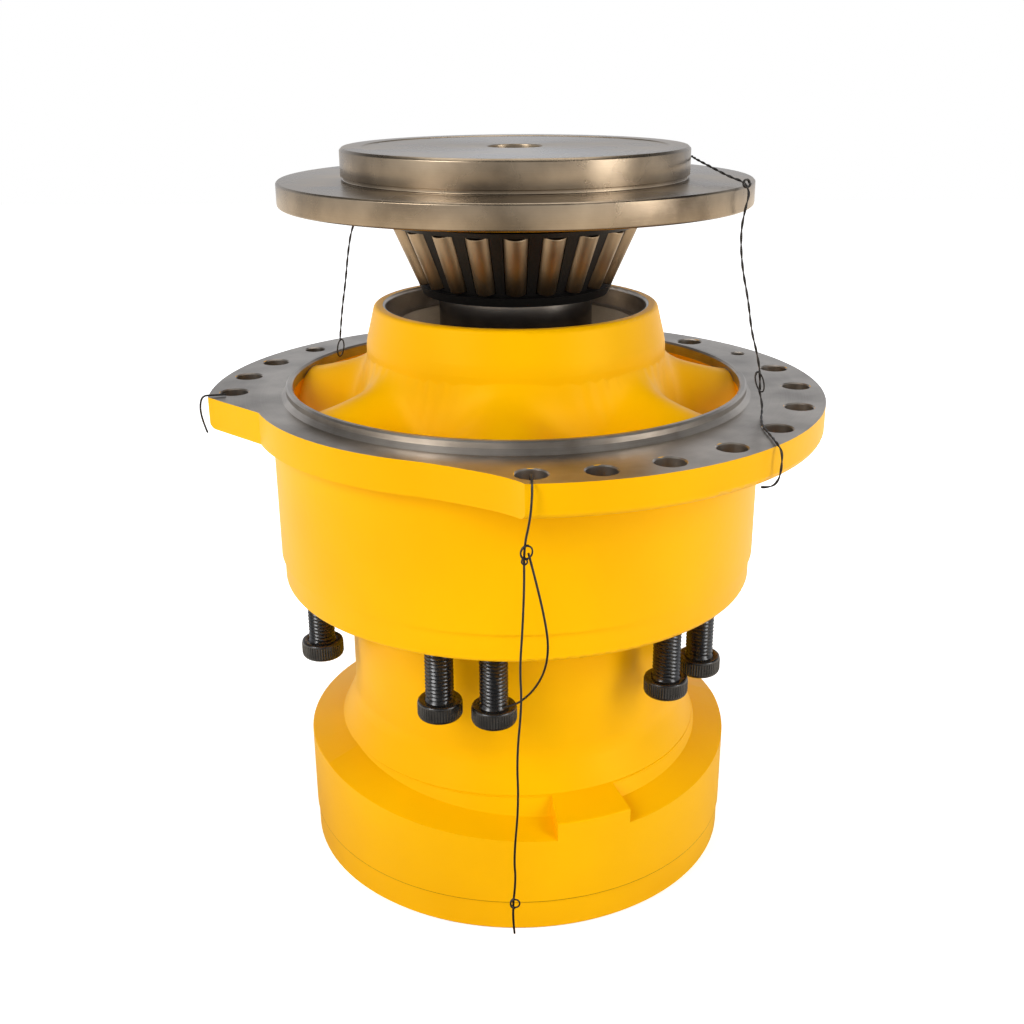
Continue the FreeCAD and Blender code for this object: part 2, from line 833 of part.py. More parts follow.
def socket_screw(spot, under_head, head_radius, head_height, shank_radius, length, flats, depth):
    """A socket head screw that points up, with its head below the height under_head."""
    head_bottom = under_head - head_height
    head = Part.makeCylinder(head_radius, head_height, Vector(spot.x, spot.y, head_bottom))
    head = head.makeChamfer(head_height * 0.08, [e for e in head.Edges if isinstance(e.Curve, Part.Circle)])
    shank = Part.makeCylinder(shank_radius, length, Vector(spot.x, spot.y, under_head))
    tip = [e for e in shank.Edges if isinstance(e.Curve, Part.Circle) and e.Curve.Center.z > under_head + 1]
    shank = shank.makeChamfer(shank_radius * 0.12, tip)
    socket = hexagon(flats, head_bottom - 1, depth + 1, Vector(spot.x, spot.y, 0))
    return head.fuse(shank).cut(socket)


cover_screws = shaped(
    "cover_screws",
    Part.makeCompound(
        [
            socket_screw(
                polar(value("cover_screw_pitch"), angle),
                value("cover_screw_head_height") + value("cover_screw_sink"),
                value("cover_screw_head_radius"),
                value("cover_screw_head_height"),
                value("cover_screw_radius") - value("thread_play"),
                value("cover_screw_length"),
                value("cover_screw_radius") * 1.6,
                value("cover_screw_head_height") * 0.5,
            )
            for angle in cover_screw_angles
        ]
    ),
)
plug_solid = Part.makeCylinder(value("release_plug_radius"), value("cover_height") - 1, Vector(0, 0, 0.5))
release_plug = shaped("release_plug", plug_solid.cut(hexagon(value("release_plug_radius"), 0, 9)))

# Case screws, all drawn out by the same length
case_screws = shaped(
    "case_screws",
    Part.makeCompound(
        [
            socket_screw(
                polar(value("screw_pitch_radius"), angle),
                value("case_ring_bottom") - value("screw_drawn"),
                value("screw_head_radius"),
                value("screw_head_height"),
                value("screw_radius"),
                value("screw_length"),
                value("screw_socket_flats"),
                value("screw_socket_depth"),
            )
            for angle in case_screw_angles
        ]
    ),
)

# Distributor: the stepped valve body that feeds oil to the cylinder block
valve_turned = turned(
    "distributor_turned",
    [
        ("shaft_passage_radius", "valve_foot"),
        ("valve_foot_radius - valve_fit", "valve_foot"),
        ("valve_foot_radius - valve_fit", "valve_third_bottom"),
        ("valve_third_radius - valve_fit", "valve_third_bottom"),
        ("valve_third_radius - valve_fit", "valve_second_bottom"),
        ("valve_second_radius - valve_fit", "valve_second_bottom"),
        ("valve_second_radius - valve_fit", "valve_head_bottom"),
        ("valve_head_radius - valve_fit", "valve_head_bottom"),
        ("valve_head_radius - valve_fit", "block_bottom - valve_face_gap"),
        ("valve_bore_radius", "block_bottom - valve_face_gap"),
        ("valve_bore_radius", "valve_bore_floor"),
        ("shaft_passage_radius", "valve_bore_floor"),
    ],
)
valve_seal_steps = [
    ("valve_head_radius", "valve_head_bottom"),
    ("valve_second_radius", "valve_second_bottom"),
    ("valve_third_radius", "valve_third_bottom"),
]


def valve_ring(radius_name, bottom_name):
    """The seal ring near the foot of one step of the distributor."""
    radius = value(radius_name)
    level = value(bottom_name) + value("valve_seal_lift")
    return washer(radius, radius - value("valve_seal_depth"), level, value("valve_seal_width"))


valve_seals = shaped("distributor_seals", Part.makeCompound([valve_ring(*step) for step in valve_seal_steps]))
valve_feeds = shaped(
    "distributor_feeds",
    ring_of(
        Part.makeCylinder(
            value("feed_radius"), 32, polar(value("feed_pitch_radius"), 0, value("block_bottom") - 32)
        ),
        2 * round(value("cam_lobes")),
        15,
    ),
)
valve_grooves = shaped("distributor_grooves", valve_seals.Shape)
distributor = cut("distributor", valve_turned, [valve_grooves, valve_feeds])
valve_spring = shaped(
    "distributor_spring",
    revolved(
        [
            (value("shaft_passage_radius") + 6, value("valve_floor") + 2.6),
            (value("shaft_passage_radius") + 6, value("valve_foot")),
            (value("valve_foot_radius") - 4, value("valve_floor") + 3.4),
            (value("valve_foot_radius") - 4, value("valve_floor")),
        ]
    ),
)


def cam_ring_solid():
    """The ring with its wavy inner track."""
    lobes = round(value("cam_lobes"))
    count = lobes * 12
    points = []
    for i in range(count):
        angle = 360.0 * i / count
        track = value("cam_mean_radius") + value("cam_lobe_height") * math.cos(math.radians(lobes * angle))
        points.append(polar(track, angle, value("case_joint")))
    curve = Part.BSplineCurve()
    curve.interpolate(Points=points, PeriodicFlag=True)
    height = value("cam_shoulder") - value("case_joint")
    track = Part.Face(Part.Wire([curve.toShape()])).extrude(Vector(0, 0, height))
    outer = value("cam_bore_radius") - value("bearing_fit")
    return Part.makeCylinder(outer, height, Vector(0, 0, value("case_joint"))).cut(track)


cam_pin_holes = Part.makeCompound(
    [
        Part.makeCylinder(
            value("cam_pin_radius"), 14, polar(value("cam_pin_pitch"), angle, value("case_joint"))
        )
        for angle in (30, 210)
    ]
)
cam_ring = shaped("cam_ring", cam_ring_solid().cut(cam_pin_holes))
cam_pins = shaped("cam_ring_pins", cam_pin_holes)

# Cylinder block with its pistons and cam rollers
block_turned = turned(
    "cylinder_block_turned",
    [
        ("0", "block_bottom"),
        ("block_radius", "block_bottom"),
        ("block_radius", "block_top"),
        ("0", "block_top"),
    ],
)
block_middle = 0.5 * (value("block_bottom") + value("block_top"))
piston_count = round(value("piston_count"))


def outward(radius, start, end):
    """A bar that points straight out to the front, at the height of the pistons."""
    return Part.makeCylinder(radius, end - start, Vector(0, -start, block_middle), Vector(0, -1, 0))


bore_radius = value("piston_radius") + value("piston_fit")
bore_drill = outward(bore_radius, value("cylinder_foot"), value("block_radius") + 5)
block_bores = shaped("cylinder_bores", ring_of(bore_drill, piston_count))
block_feeds = shaped(
    "block_feeds",
    ring_of(
        Part.makeCylinder(
            value("feed_radius"),
            block_middle - value("block_bottom"),
            polar(value("feed_pitch_radius"), 0, value("block_bottom")),
        ),
        piston_count,
    ),
)
block_spline = shaped(
    "block_spline",
    spline_prism(
        value("spline_minor"),
        value("spline_major"),
        round(value("spline_teeth")),
        value("block_bottom"),
        value("block_top") - value("block_bottom"),
        value("spline_gap"),
    ),
)
cylinder_block = cut("cylinder_block", block_turned, [block_bores, block_feeds, block_spline])
roller_spot = Vector(0, -value("cam_roller_place"), block_middle - value("cam_roller_length") / 2)
roller_bar = Part.makeCylinder(value("cam_roller_radius"), value("cam_roller_length"), roller_spot)
roller_seat = Part.makeCylinder(
    value("cam_roller_radius") + value("piston_fit"), 60, roller_spot - Vector(0, 0, 16)
)
piston = outward(value("piston_radius"), value("piston_foot"), value("piston_head")).cut(roller_seat)
piston = piston.cut(outward(value("piston_radius") - 5, value("piston_foot"), value("piston_foot") + 14))
pistons = shaped("pistons", ring_of(piston, piston_count))
cam_rollers = shaped("cam_rollers", ring_of(roller_bar, piston_count))

# Output shaft: pilot, plate, journals and spline turned from one forging
shaft_turned = turned(
    "output_shaft_turned",
    [
        ("0", "pilot_top - centre_hole_depth"),
        ("centre_hole_radius", "pilot_top - centre_hole_depth"),
        ("centre_hole_radius", "pilot_top - pilot_face_depth"),
        ("pilot_face_radius", "pilot_top - pilot_face_depth"),
        ("pilot_face_radius", "pilot_top"),
        ("pilot_radius", "pilot_top"),
        ("pilot_radius", "plate_top + pilot_groove_height"),
        ("pilot_radius - pilot_groove_depth", "plate_top + pilot_groove_height"),
        ("pilot_radius - pilot_groove_depth", "plate_top"),
        ("plate_radius", "plate_top"),
        ("plate_radius", "plate_bottom"),
        ("hub_radius", "plate_bottom"),
        ("hub_radius", "cone_seat_top"),
        ("journal_radius", "cone_seat_top"),
        ("journal_radius", "journal_bottom"),
        ("inboard_journal_radius - bearing_fit", "journal_bottom"),
        ("inboard_journal_radius - bearing_fit", "inboard_journal_bottom"),
        ("thread_radius", "inboard_journal_bottom"),
        ("thread_radius", "thread_bottom"),
        ("spline_minor", "thread_bottom"),
        ("spline_minor", "shaft_end"),
        ("0", "shaft_end"),
    ],
    bevels=[
        ("pilot_radius", "pilot_top", "pilot_chamfer"),
        ("plate_radius", "plate_top", "plate_chamfer"),
        ("plate_radius", "plate_bottom", "plate_chamfer"),
    ],
)
shaft_spline = shaped(
    "shaft_spline",
    spline_prism(
        value("spline_minor"),
        value("spline_major"),
        round(value("spline_teeth")),
        value("shaft_end"),
        value("thread_bottom") - value("shaft_end"),
    ),
)
shaft_bar = doc.addObject("Part::Fuse", "output_shaft_bar")
shaft_bar.Base = shaft_turned
shaft_bar.Tool = shaft_spline
brake_socket = shaped(
    "brake_shaft_socket",
    spline_prism(
        value("brake_spline_minor"),
        value("brake_shaft_radius"),
        round(value("brake_spline_teeth")),
        value("shaft_end"),
        value("brake_socket_depth"),
        value("spline_gap"),
    ),
)
output_shaft = cut("output_shaft", shaft_bar, [brake_socket])

sleeve = turned(
    "bearing_spacer",
    [
        ("journal_radius", "journal_bottom"),
        ("sleeve_radius", "journal_bottom"),
        ("sleeve_radius", "cone_foot"),
        ("journal_radius", "cone_foot"),
    ],
    rounds=[("sleeve_radius", "journal_bottom", "sleeve_round")],
)
shaft_seal = turned(
    "shaft_seal",
    [
        ("hub_radius + seal_step", "seal_bottom"),
        ("seal_radius", "seal_bottom"),
        ("seal_radius", "plate_bottom"),
        ("hub_radius", "plate_bottom"),
        ("hub_radius", "cone_seat_top"),
        ("hub_radius + seal_step", "cone_seat_top"),
    ],
)


class TaperRow:
    """One row of taper rollers: every line of it runs through one point on the axis."""

    def __init__(self, big_end, small_end, envelope, angle, big_radius):
        self.way = 1 if big_end > small_end else -1
        self.angle = math.radians(angle)
        self.apex = big_end - self.way * envelope / math.tan(self.angle)
        self.big_reach = envelope / math.sin(self.angle)
        self.small_reach = abs(small_end - self.apex) / math.cos(self.angle)
        self.half = math.asin(big_radius / self.big_reach)
        self.race_angle = self.angle - 2 * self.half

    def cup_line(self, height):
        return abs(height - self.apex) * math.tan(self.angle)

    def race_line(self, height):
        return abs(height - self.apex) * math.tan(self.race_angle)

    def race_height(self, reach):
        return self.apex + self.way * reach * math.cos(self.race_angle)

    def roller(self, growth):
        """The front roller, grown or shrunk all round by growth."""
        lean = self.angle - self.half
        axis = Vector(0, -math.sin(lean), self.way * math.cos(lean))
        start = self.small_reach * math.cos(self.half) - max(growth, 0)
        end = self.big_reach * math.cos(self.half) + max(growth, 0)
        small = start * math.tan(self.half) + growth
        big = end * math.tan(self.half) + growth
        return Part.makeCone(small, big, end - start, Vector(0, 0, self.apex) + axis * start, axis)


outer_row = TaperRow(
    value("outer_roller_top"),
    value("outer_roller_bottom"),
    value("outer_roller_envelope"),
    value("cup_angle"),
    value("outer_roller_big_radius"),
)
inner_row = TaperRow(
    value("inner_roller_bottom"),
    value("inner_roller_top"),
    value("inner_roller_envelope"),
    value("inner_cup_angle"),
    value("inner_roller_big_radius"),
)


def cup_solid(row, outer, bottom, width, lift):
    """An outer ring. Its cone clears the rollers once the shaft is lowered by lift."""
    top = bottom + width
    clear = value("roller_play")
    return revolved(
        [
            (row.cup_line(bottom + lift) + clear, bottom),
            (outer, bottom),
            (outer, top),
            (row.cup_line(top + lift) + clear, top),
        ]
    )


def cone_solid(row, bore, bottom, top):
    """An inner ring with a rib at each end of the rollers."""
    ends = sorted([row.race_height(row.small_reach), row.race_height(row.big_reach)])
    small_rib, big_rib = value("small_rib"), value("big_rib")
    low_rib, high_rib = (small_rib, big_rib) if row.way > 0 else (big_rib, small_rib)
    low = ends[0] - (value("rib_gap") if row.way < 0 else value("rib_gap") + value("rib_set"))
    high = ends[1] + (value("rib_gap") if row.way > 0 else value("rib_gap") + value("rib_set"))
    return revolved(
        [
            (bore, bottom),
            (row.race_line(low) + low_rib, bottom),
            (row.race_line(low) + low_rib, low),
            (row.race_line(low), low),
            (row.race_line(high), high),
            (row.race_line(high) + high_rib, high),
            (row.race_line(high) + high_rib, top),
            (bore, top),
        ]
    )


def cage_solid(row, bottom, top, band, inset, count):
    """A pressed cage: bars between the rollers, and a rim round their small and their big ends."""
    wall, rim = value("cage_wall"), value("cage_rim_inset")
    low, high = bottom + band[0], top - band[1]
    shell = revolved(
        [
            (row.cup_line(bottom) - inset - wall, bottom),
            (row.cup_line(bottom) - rim, bottom),
            (row.cup_line(low) - rim, low),
            (row.cup_line(low) - inset, low),
            (row.cup_line(high) - inset, high),
            (row.cup_line(high) - rim, high),
            (row.cup_line(top) - rim, top),
            (row.cup_line(top) - inset - wall, top),
        ]
    )
    return shell.cut(ring_of(row.roller(value("cage_gap")), count))


outer_count = round(value("outer_roller_count"))
inner_count = round(value("inner_roller_count"))
play = value("roller_play")
drawn_up = value("shaft_travel") + value("cup_end_gap")
outboard_cup = shaped(
    "outboard_cup",
    cup_solid(
        outer_row, value("bearing_bore_radius"), value("outboard_shoulder"), value("cup_width"), drawn_up
    ),
)
outboard_cone = shaped(
    "outboard_cone",
    cone_solid(outer_row, value("journal_radius"), value("cone_foot"), value("cone_seat_top")),
)
outboard_rollers = shaped("outboard_rollers", ring_of(outer_row.roller(-play), outer_count))
outboard_cage = shaped(
    "outboard_cage",
    cage_solid(
        outer_row,
        value("cage_foot"),
        value("cage_head"),
        (value("outer_cage_foot_band"), value("outer_cage_head_band")),
        value("outer_cage_inset"),
        outer_count,
    ),
)
inner_cup_width = value("inner_cup_width")
inner_cup_bottom = value("inboard_shoulder") - inner_cup_width
inboard_cup = shaped(
    "inboard_cup",
    cup_solid(inner_row, value("inboard_bore_radius"), inner_cup_bottom, inner_cup_width, 0),
)
inboard_cone = shaped(
    "inboard_cone",
    cone_solid(
        inner_row, value("inboard_journal_radius"), value("inner_cone_bottom"), value("inner_cone_top")
    ),
)
inboard_rollers = shaped("inboard_rollers", ring_of(inner_row.roller(-play), inner_count))
inboard_cage = shaped(
    "inboard_cage",
    cage_solid(
        inner_row,
        value("inner_cage_bottom"),
        value("inner_cage_top"),
        (value("inner_cage_foot_band"), value("inner_cage_head_band")),
        value("inner_cage_inset"),
        inner_count,
    ),
)
nut_top = value("inner_cone_bottom") - value("nut_gap")
nut_radius, nut_height, slot_width = value("nut_radius"), value("nut_height"), value("nut_slot_width")
nut_bottom = nut_top - nut_height
nut_blank = washer(nut_radius, value("thread_radius") + value("nut_gap"), nut_bottom, nut_height)
nut_slot = Part.makeBox(slot_width, 8, nut_height, Vector(-slot_width / 2, -nut_radius - 2, nut_bottom))
lock_nut = shaped("lock_nut", nut_blank.cut(ring_of(nut_slot, 6)))

# Brake: splined shaft and hub, friction discs between steel plates, piston and disc springs
brake_shaft = shaped(
    "brake_shaft",
    spline_prism(
        value("brake_spline_minor"),
        value("brake_shaft_radius"),
        round(value("brake_spline_teeth")),
        value("brake_shaft_bottom"),
        value("brake_shaft_top") - value("brake_shaft_bottom"),
    ),
)
hub_height = value("plate_stack_top") - value("stack_bottom")
hub_blank = spline_prism(
    value("hub_spline_minor"),
    value("hub_spline_major"),
    round(value("hub_spline_teeth")),
    value("stack_bottom"),
    hub_height,
)
hub_bore = spline_prism(
    value("brake_spline_minor"),
    value("brake_shaft_radius"),
    round(value("brake_spline_teeth")),
    value("stack_bottom"),
    hub_height,
    value("spline_gap"),
)
brake_hub = shaped("brake_hub", hub_blank.cut(hub_bore))
plate_height = value("brake_plate_height")
torque_pin_bar = Part.makeCylinder(
    value("torque_pin_radius"),
    value("brake_ceiling") + 12 - value("stack_bottom"),
    polar(value("torque_pin_pitch"), 0, value("stack_bottom")),
)
torque_pins = shaped("brake_torque_pins", ring_of(torque_pin_bar, round(value("torque_pin_count"))))
notch_radius = value("torque_pin_radius") + value("spline_gap")
notch_foot = polar(value("torque_pin_pitch"), 0, value("stack_bottom") - 5)
pin_notches = ring_of(Part.makeCylinder(notch_radius, 60, notch_foot), round(value("torque_pin_count")))
disc_teeth = spline_prism(
    value("hub_spline_minor"),
    value("hub_spline_major"),
    round(value("hub_spline_teeth")),
    value("stack_bottom") - 5,
    60,
    value("spline_gap"),
)
steel_plates, friction_discs = [], []
for number in range(round(value("brake_disc_count")) + 1):
    level = value("stack_bottom") + number * value("plate_pitch")
    steel = washer(value("brake_plate_outer"), value("brake_plate_inner"), level, plate_height)
    steel_plates.append(steel.cut(pin_notches))
    if number < round(value("brake_disc_count")):
        level += plate_height + value("brake_disc_gap")
        disc = Part.makeCylinder(value("brake_disc_outer"), plate_height, Vector(0, 0, level))
        friction_discs.append(disc.cut(disc_teeth))
brake_plates = shaped("brake_steel_plates", Part.makeCompound(steel_plates))
brake_discs = shaped("brake_friction_discs", Part.makeCompound(friction_discs))
piston_turned = turned(
    "brake_piston_turned",
    [
        ("brake_piston_bore", "piston_bottom"),
        ("brake_bore_radius - brake_piston_fit", "piston_bottom"),
        ("brake_bore_radius - brake_piston_fit", "piston_top"),
        ("brake_piston_nose_outer", "piston_top"),
        ("brake_piston_nose_outer", "nose_top"),
        ("brake_piston_nose_inner", "nose_top"),
        ("brake_piston_nose_inner", "piston_top"),
        ("brake_piston_bore", "piston_top"),
    ],
)
piston_ring = washer(
    value("brake_bore_radius") - value("brake_piston_fit"),
    value("brake_bore_radius") - value("valve_seal_depth"),
    value("piston_bottom") + 6,
    value("valve_seal_width"),
)
second_ring = piston_ring.copy()
second_ring.translate(Vector(0, 0, 9))
piston_seals = shaped("brake_piston_seals", Part.makeCompound([piston_ring, second_ring]))
brake_piston = cut("brake_piston", piston_turned, [shaped("brake_piston_grooves", piston_seals.Shape)])
spring_foot = value("cover_height") + value("spring_seat_gap")
spring_head = value("piston_bottom") - value("spring_seat_gap")
spring_outer, spring_inner = value("disc_spring_outer"), value("disc_spring_inner")
thick = value("disc_spring_thick")
spring_middle = 0.5 * (spring_foot + spring_head)
lower_spring = revolved(
    [
        (spring_outer, spring_foot),
        (spring_outer, spring_foot + thick),
        (spring_inner, spring_middle),
        (spring_inner, spring_middle - thick),
    ]
)
upper_spring = revolved(
    [
        (spring_outer, spring_head - thick),
        (spring_outer, spring_head),
        (spring_inner, spring_middle + thick),
        (spring_inner, spring_middle),
    ]
)
disc_springs = shaped("brake_disc_springs", Part.makeCompound([lower_spring, upper_spring]))

# Tie wires: soft iron wire that ties the loose pieces for delivery
wire_routes = {
    "tie_wire_front": [
        (6.5, -190.0, 322.0),
        (6.9, -192.0, 328.2),
        (7.2, -198.5, 328.6),
        (7.3, -204.6, 327.8),
        (7.3, -206.6, 320.0),
        (6.2, -206.2, 307.0),
        (3.0, -205.6, 292.0),
        (3.2, -205.2, 270.0),
        (2.2, -205.0, 244.0),
        (0.6, -205.0, 219.0),
        (1.8, -205.0, 199.0),
        (-1.3, -205.0, 164.0),
        (-0.2, -205.0, 134.0),
        (-3.2, -205.0, 96.0),
        (-2.0, -205.0, 82.0),
        (-4.4, -205.0, 58.0),
        (-3.0, -205.0, 43.0),
    ],
    "tie_wire_screw": [
        (5.4, -205.4, 288.5),
        (9.2, -205.2, 273.0),
        (14.2, -204.6, 250.0),
        (16.6, -201.5, 231.0),
        (14.8, -193.0, 212.0),
        (9.5, -180.0, 194.0),
        (2.5, -167.5, 179.5),
        (-3.6, -159.5, 171.5),
        (-9.5, -156.2, 168.5),
    ],
    "tie_wire_plate": [
        (109.1, 22.0, 474.0),
        (111.4, 4.0, 474.4),
        (112.0, -17.0, 473.6),
        (118.2, -40.0, 470.6),
        (126.5, -60.0, 466.6),
        (132.2, -72.0, 465.2),
        (134.8, -78.5, 460.0),
        (132.6, -79.0, 451.0),
        (131.2, -76.0, 437.0),
        (133.5, -74.0, 417.0),
        (138.5, -74.0, 397.0),
        (141.6, -74.0, 378.0),
        (146.0, -74.0, 364.0),
        (148.6, -73.8, 352.0),
        (149.3, -72.7, 341.4),
    ],
    "tie_wire_hub": [
        (-78.3, 34.0, 446.2),
        (-91.0, 42.0, 444.8),
        (-104.0, 51.5, 437.5),
        (-112.5, 58.5, 424.0),
        (-116.4, 60.5, 406.0),
        (-119.0, 60.0, 386.0),
        (-122.8, 60.0, 365.0),
        (-125.4, 62.0, 344.5),
    ],
    "tie_wire_flange": [
        (149.6, -70.0, 340.2),
        (151.6, -69.4, 333.2),
        (151.4, -73.6, 328.6),
        (147.6, -90.0, 327.7),
        (145.6, -108.0, 327.8),
        (147.0, -126.0, 327.6),
        (146.8, -139.4, 328.2),
        (149.2, -144.8, 325.0),
        (149.6, -145.0, 316.0),
        (148.6, -144.4, 307.0),
        (144.0, -145.4, 303.2),
        (138.5, -145.4, 303.6),
    ],
    "tie_wire_corner": [
        (-190.0, -24.0, 327.3),
        (-198.0, -26.5, 327.5),
        (-204.6, -28.0, 327.6),
        (-206.6, -28.6, 320.0),
        (-205.4, -29.2, 311.0),
        (-202.6, -30.0, 303.0),
    ],
}


def wire_tube(label, points):
    """A wire of straight runs joined by tangent arcs."""
    corners = [Vector(*point) for point in points]
    edges, radii = [], []
    start = corners[0]
    for before, corner, after in zip(corners, corners[1:], corners[2:]):
        arriving, leaving = corner - before, after - corner
        turn = arriving.getAngle(leaving)
        reach = 0.45 * min(arriving.Length, leaving.Length)
        radii.append(reach / math.tan(turn / 2))
        arriving.normalize()
        leaving.normalize()
        enter, leave = corner - arriving * reach, corner + leaving * reach
        inward = (leaving - arriving).normalize()
        middle = corner + inward * (radii[-1] / math.cos(turn / 2) - radii[-1])
        edges.append(Part.LineSegment(start, enter).toShape())
        edges.append(Part.Arc(enter, middle, leave).toShape())
        start = leave
    edges.append(Part.LineSegment(start, corners[-1]).toShape())
    path = Part.Wire(edges)
    radius = value("wire_radius")
    circle = Part.Wire([Part.Circle(corners[0], corners[1] - corners[0], radius).toShape()])
    tube = path.makePipeShell([circle], True, True)
    print("%s: length %.1f, smallest radius %.1f" % (label, path.Length, min(radii)))
    return tube


wires = [shaped(label, wire_tube(label, points)) for label, points in wire_routes.items()]

nodes = [
    bearing_support,
    rear_housing,
    case_dowels,
    case_oring,
    case_screws,
    end_cover,
    cover_oring,
    cover_screws,
    release_plug,
    distributor,
    valve_seals,
    valve_spring,
    cam_ring,
    cam_pins,
    cylinder_block,
    pistons,
    cam_rollers,
    output_shaft,
    sleeve,
    shaft_seal,
    outboard_cup,
    outboard_cone,
    outboard_rollers,
    outboard_cage,
    inboard_cup,
    inboard_cone,
    inboard_rollers,
    inboard_cage,
    lock_nut,
    brake_shaft,
    brake_hub,
    torque_pins,
    brake_plates,
    brake_discs,
    brake_piston,
    piston_seals,
    disc_springs,
] + wires

doc.recompute()
for item in doc.Objects:
    if "Invalid" in item.State or "Error" in item.State:
        raise RuntimeError("%s did not recompute: %s" % (item.Label, item.State))
for node in nodes:
    if node.Shape.isNull() or not node.Shape.isValid() or not node.Shape.Solids:
        raise RuntimeError("%s has no valid solid" % node.Label)

os.makedirs("parts", exist_ok=True)
for node in nodes:
    node.Shape.exportStep(os.path.join("parts", node.Label + ".step"))
print("%d nodes, %d solids" % (len(nodes), sum(len(n.Shape.Solids) for n in nodes)))
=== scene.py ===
import math

import bmesh
import bpy
from mathutils import Euler, Matrix, Vector


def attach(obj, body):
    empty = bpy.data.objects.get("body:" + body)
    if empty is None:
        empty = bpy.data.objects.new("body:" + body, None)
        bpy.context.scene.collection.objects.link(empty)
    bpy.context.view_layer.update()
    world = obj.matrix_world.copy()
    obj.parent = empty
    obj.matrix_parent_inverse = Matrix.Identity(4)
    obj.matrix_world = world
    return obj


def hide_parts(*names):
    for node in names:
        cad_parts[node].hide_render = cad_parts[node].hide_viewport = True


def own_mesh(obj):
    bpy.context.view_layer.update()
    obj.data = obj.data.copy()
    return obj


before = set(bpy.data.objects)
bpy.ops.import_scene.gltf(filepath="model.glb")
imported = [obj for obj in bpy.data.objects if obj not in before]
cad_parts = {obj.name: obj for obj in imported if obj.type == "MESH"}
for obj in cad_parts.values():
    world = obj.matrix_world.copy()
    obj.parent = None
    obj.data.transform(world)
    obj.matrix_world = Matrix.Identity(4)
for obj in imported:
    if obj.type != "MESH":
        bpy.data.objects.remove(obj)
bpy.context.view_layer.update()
scene = bpy.context.scene
scene.view_settings.view_transform = "Standard"
mm = 0.001

# Camera: it stands a little to the left of the middle, 0.81 m in front of the shaft, level with
# a point above the pilot, and looks down on the flange.
camera_data = bpy.data.cameras.new("camera")
camera_data.sensor_width = 36
camera_data.lens = 43.28
camera_data.clip_start = 0.02
camera = bpy.data.objects.new("camera", camera_data)
scene.collection.objects.link(camera)
down, lean = 20.45, -0.321
nod = Euler((math.radians(90 - down), 0, 0)).to_matrix()
tilt = nod @ Matrix.Rotation(math.radians(lean), 3, "Z")
camera_spot = (-3.14 * mm, -806 * mm, 535.7 * mm)
camera.matrix_world = Matrix.Translation(camera_spot) @ tilt.to_4x4()
scene.camera = camera


# Tie wires: soft annealed iron wire that holds the loose pieces to the castings for delivery. Those
# down the front and at the left corner are a single wire, the others two twisted together by hand,
# with small loops where one is hooked into the next. The wire is dark, with a dull sheen.
def colour(code):
    """An sRGB hex value as linear light."""
    parts = [int(code[i : i + 2], 16) / 255 for i in (0, 2, 4)]
    return tuple(c / 12.92 if c < 0.04045 else ((c + 0.055) / 1.055) ** 2.4 for c in parts) + (1.0,)


def add(tree, kind, values={}, links={}, **settings):
    """A node with its settings, its socket values and the outputs that feed it."""
    node = tree.nodes.new(kind)
    for name, setting in settings.items():
        setattr(node, name, setting)
    for socket, number in values.items():
        node.inputs[socket].default_value = number
    for socket, source in links.items():
        tree.links.new(source, node.inputs[socket])
    return node


def blank_material(name):
    """A material with an empty node tree."""
    material = bpy.data.materials.new(name)
    material.use_nodes = True
    material.node_tree.nodes.clear()
    return material, material.node_tree


def noise(tree, place, scale, detail):
    """Cloudy noise over the shaded point, from 0 to 1."""
    values = {"Scale": scale, "Detail": detail}
    return add(tree, "ShaderNodeTexNoise", values, {"Vector": place}).outputs["Fac"]


def ramp(tree, source, dark, light, low=0.0, high=1.0):
    """A colour that goes from dark to light as the value goes from low to high."""
    shade = add(tree, "ShaderNodeValToRGB", links={"Fac": source})
    for element, code, stop in zip(shade.color_ramp.elements, (dark, light), (low, high)):
        element.position = stop
        element.color = colour(code)
    return shade.outputs["Color"]


def mottled_material(name, scale, detail, dark, light, values, bump=None):
    """A material that drifts between two colours, raised by a bump of this strength and distance."""
    material, tree = blank_material(name)
    place = add(tree, "ShaderNodeTexCoord").outputs["Object"]
    patches = noise(tree, place, scale, detail)
    links = {"Base Color": ramp(tree, patches, dark, light)}
    if bump:
        bump_values = dict(zip(("Strength", "Distance"), bump))
        relief = add(tree, "ShaderNodeBump", bump_values, {"Height": patches})
        links["Normal"] = relief.outputs[0]
    skin = add(tree, "ShaderNodeBsdfPrincipled", values, links)
    add(tree, "ShaderNodeOutputMaterial", links={"Surface": skin.outputs[0]})
    return material


wire_values = {"Metallic": 0.8, "Roughness": 0.42}
wire_iron = mottled_material("annealed_iron_wire", 260, 3, "1E1C1B", "4A4643", wire_values)

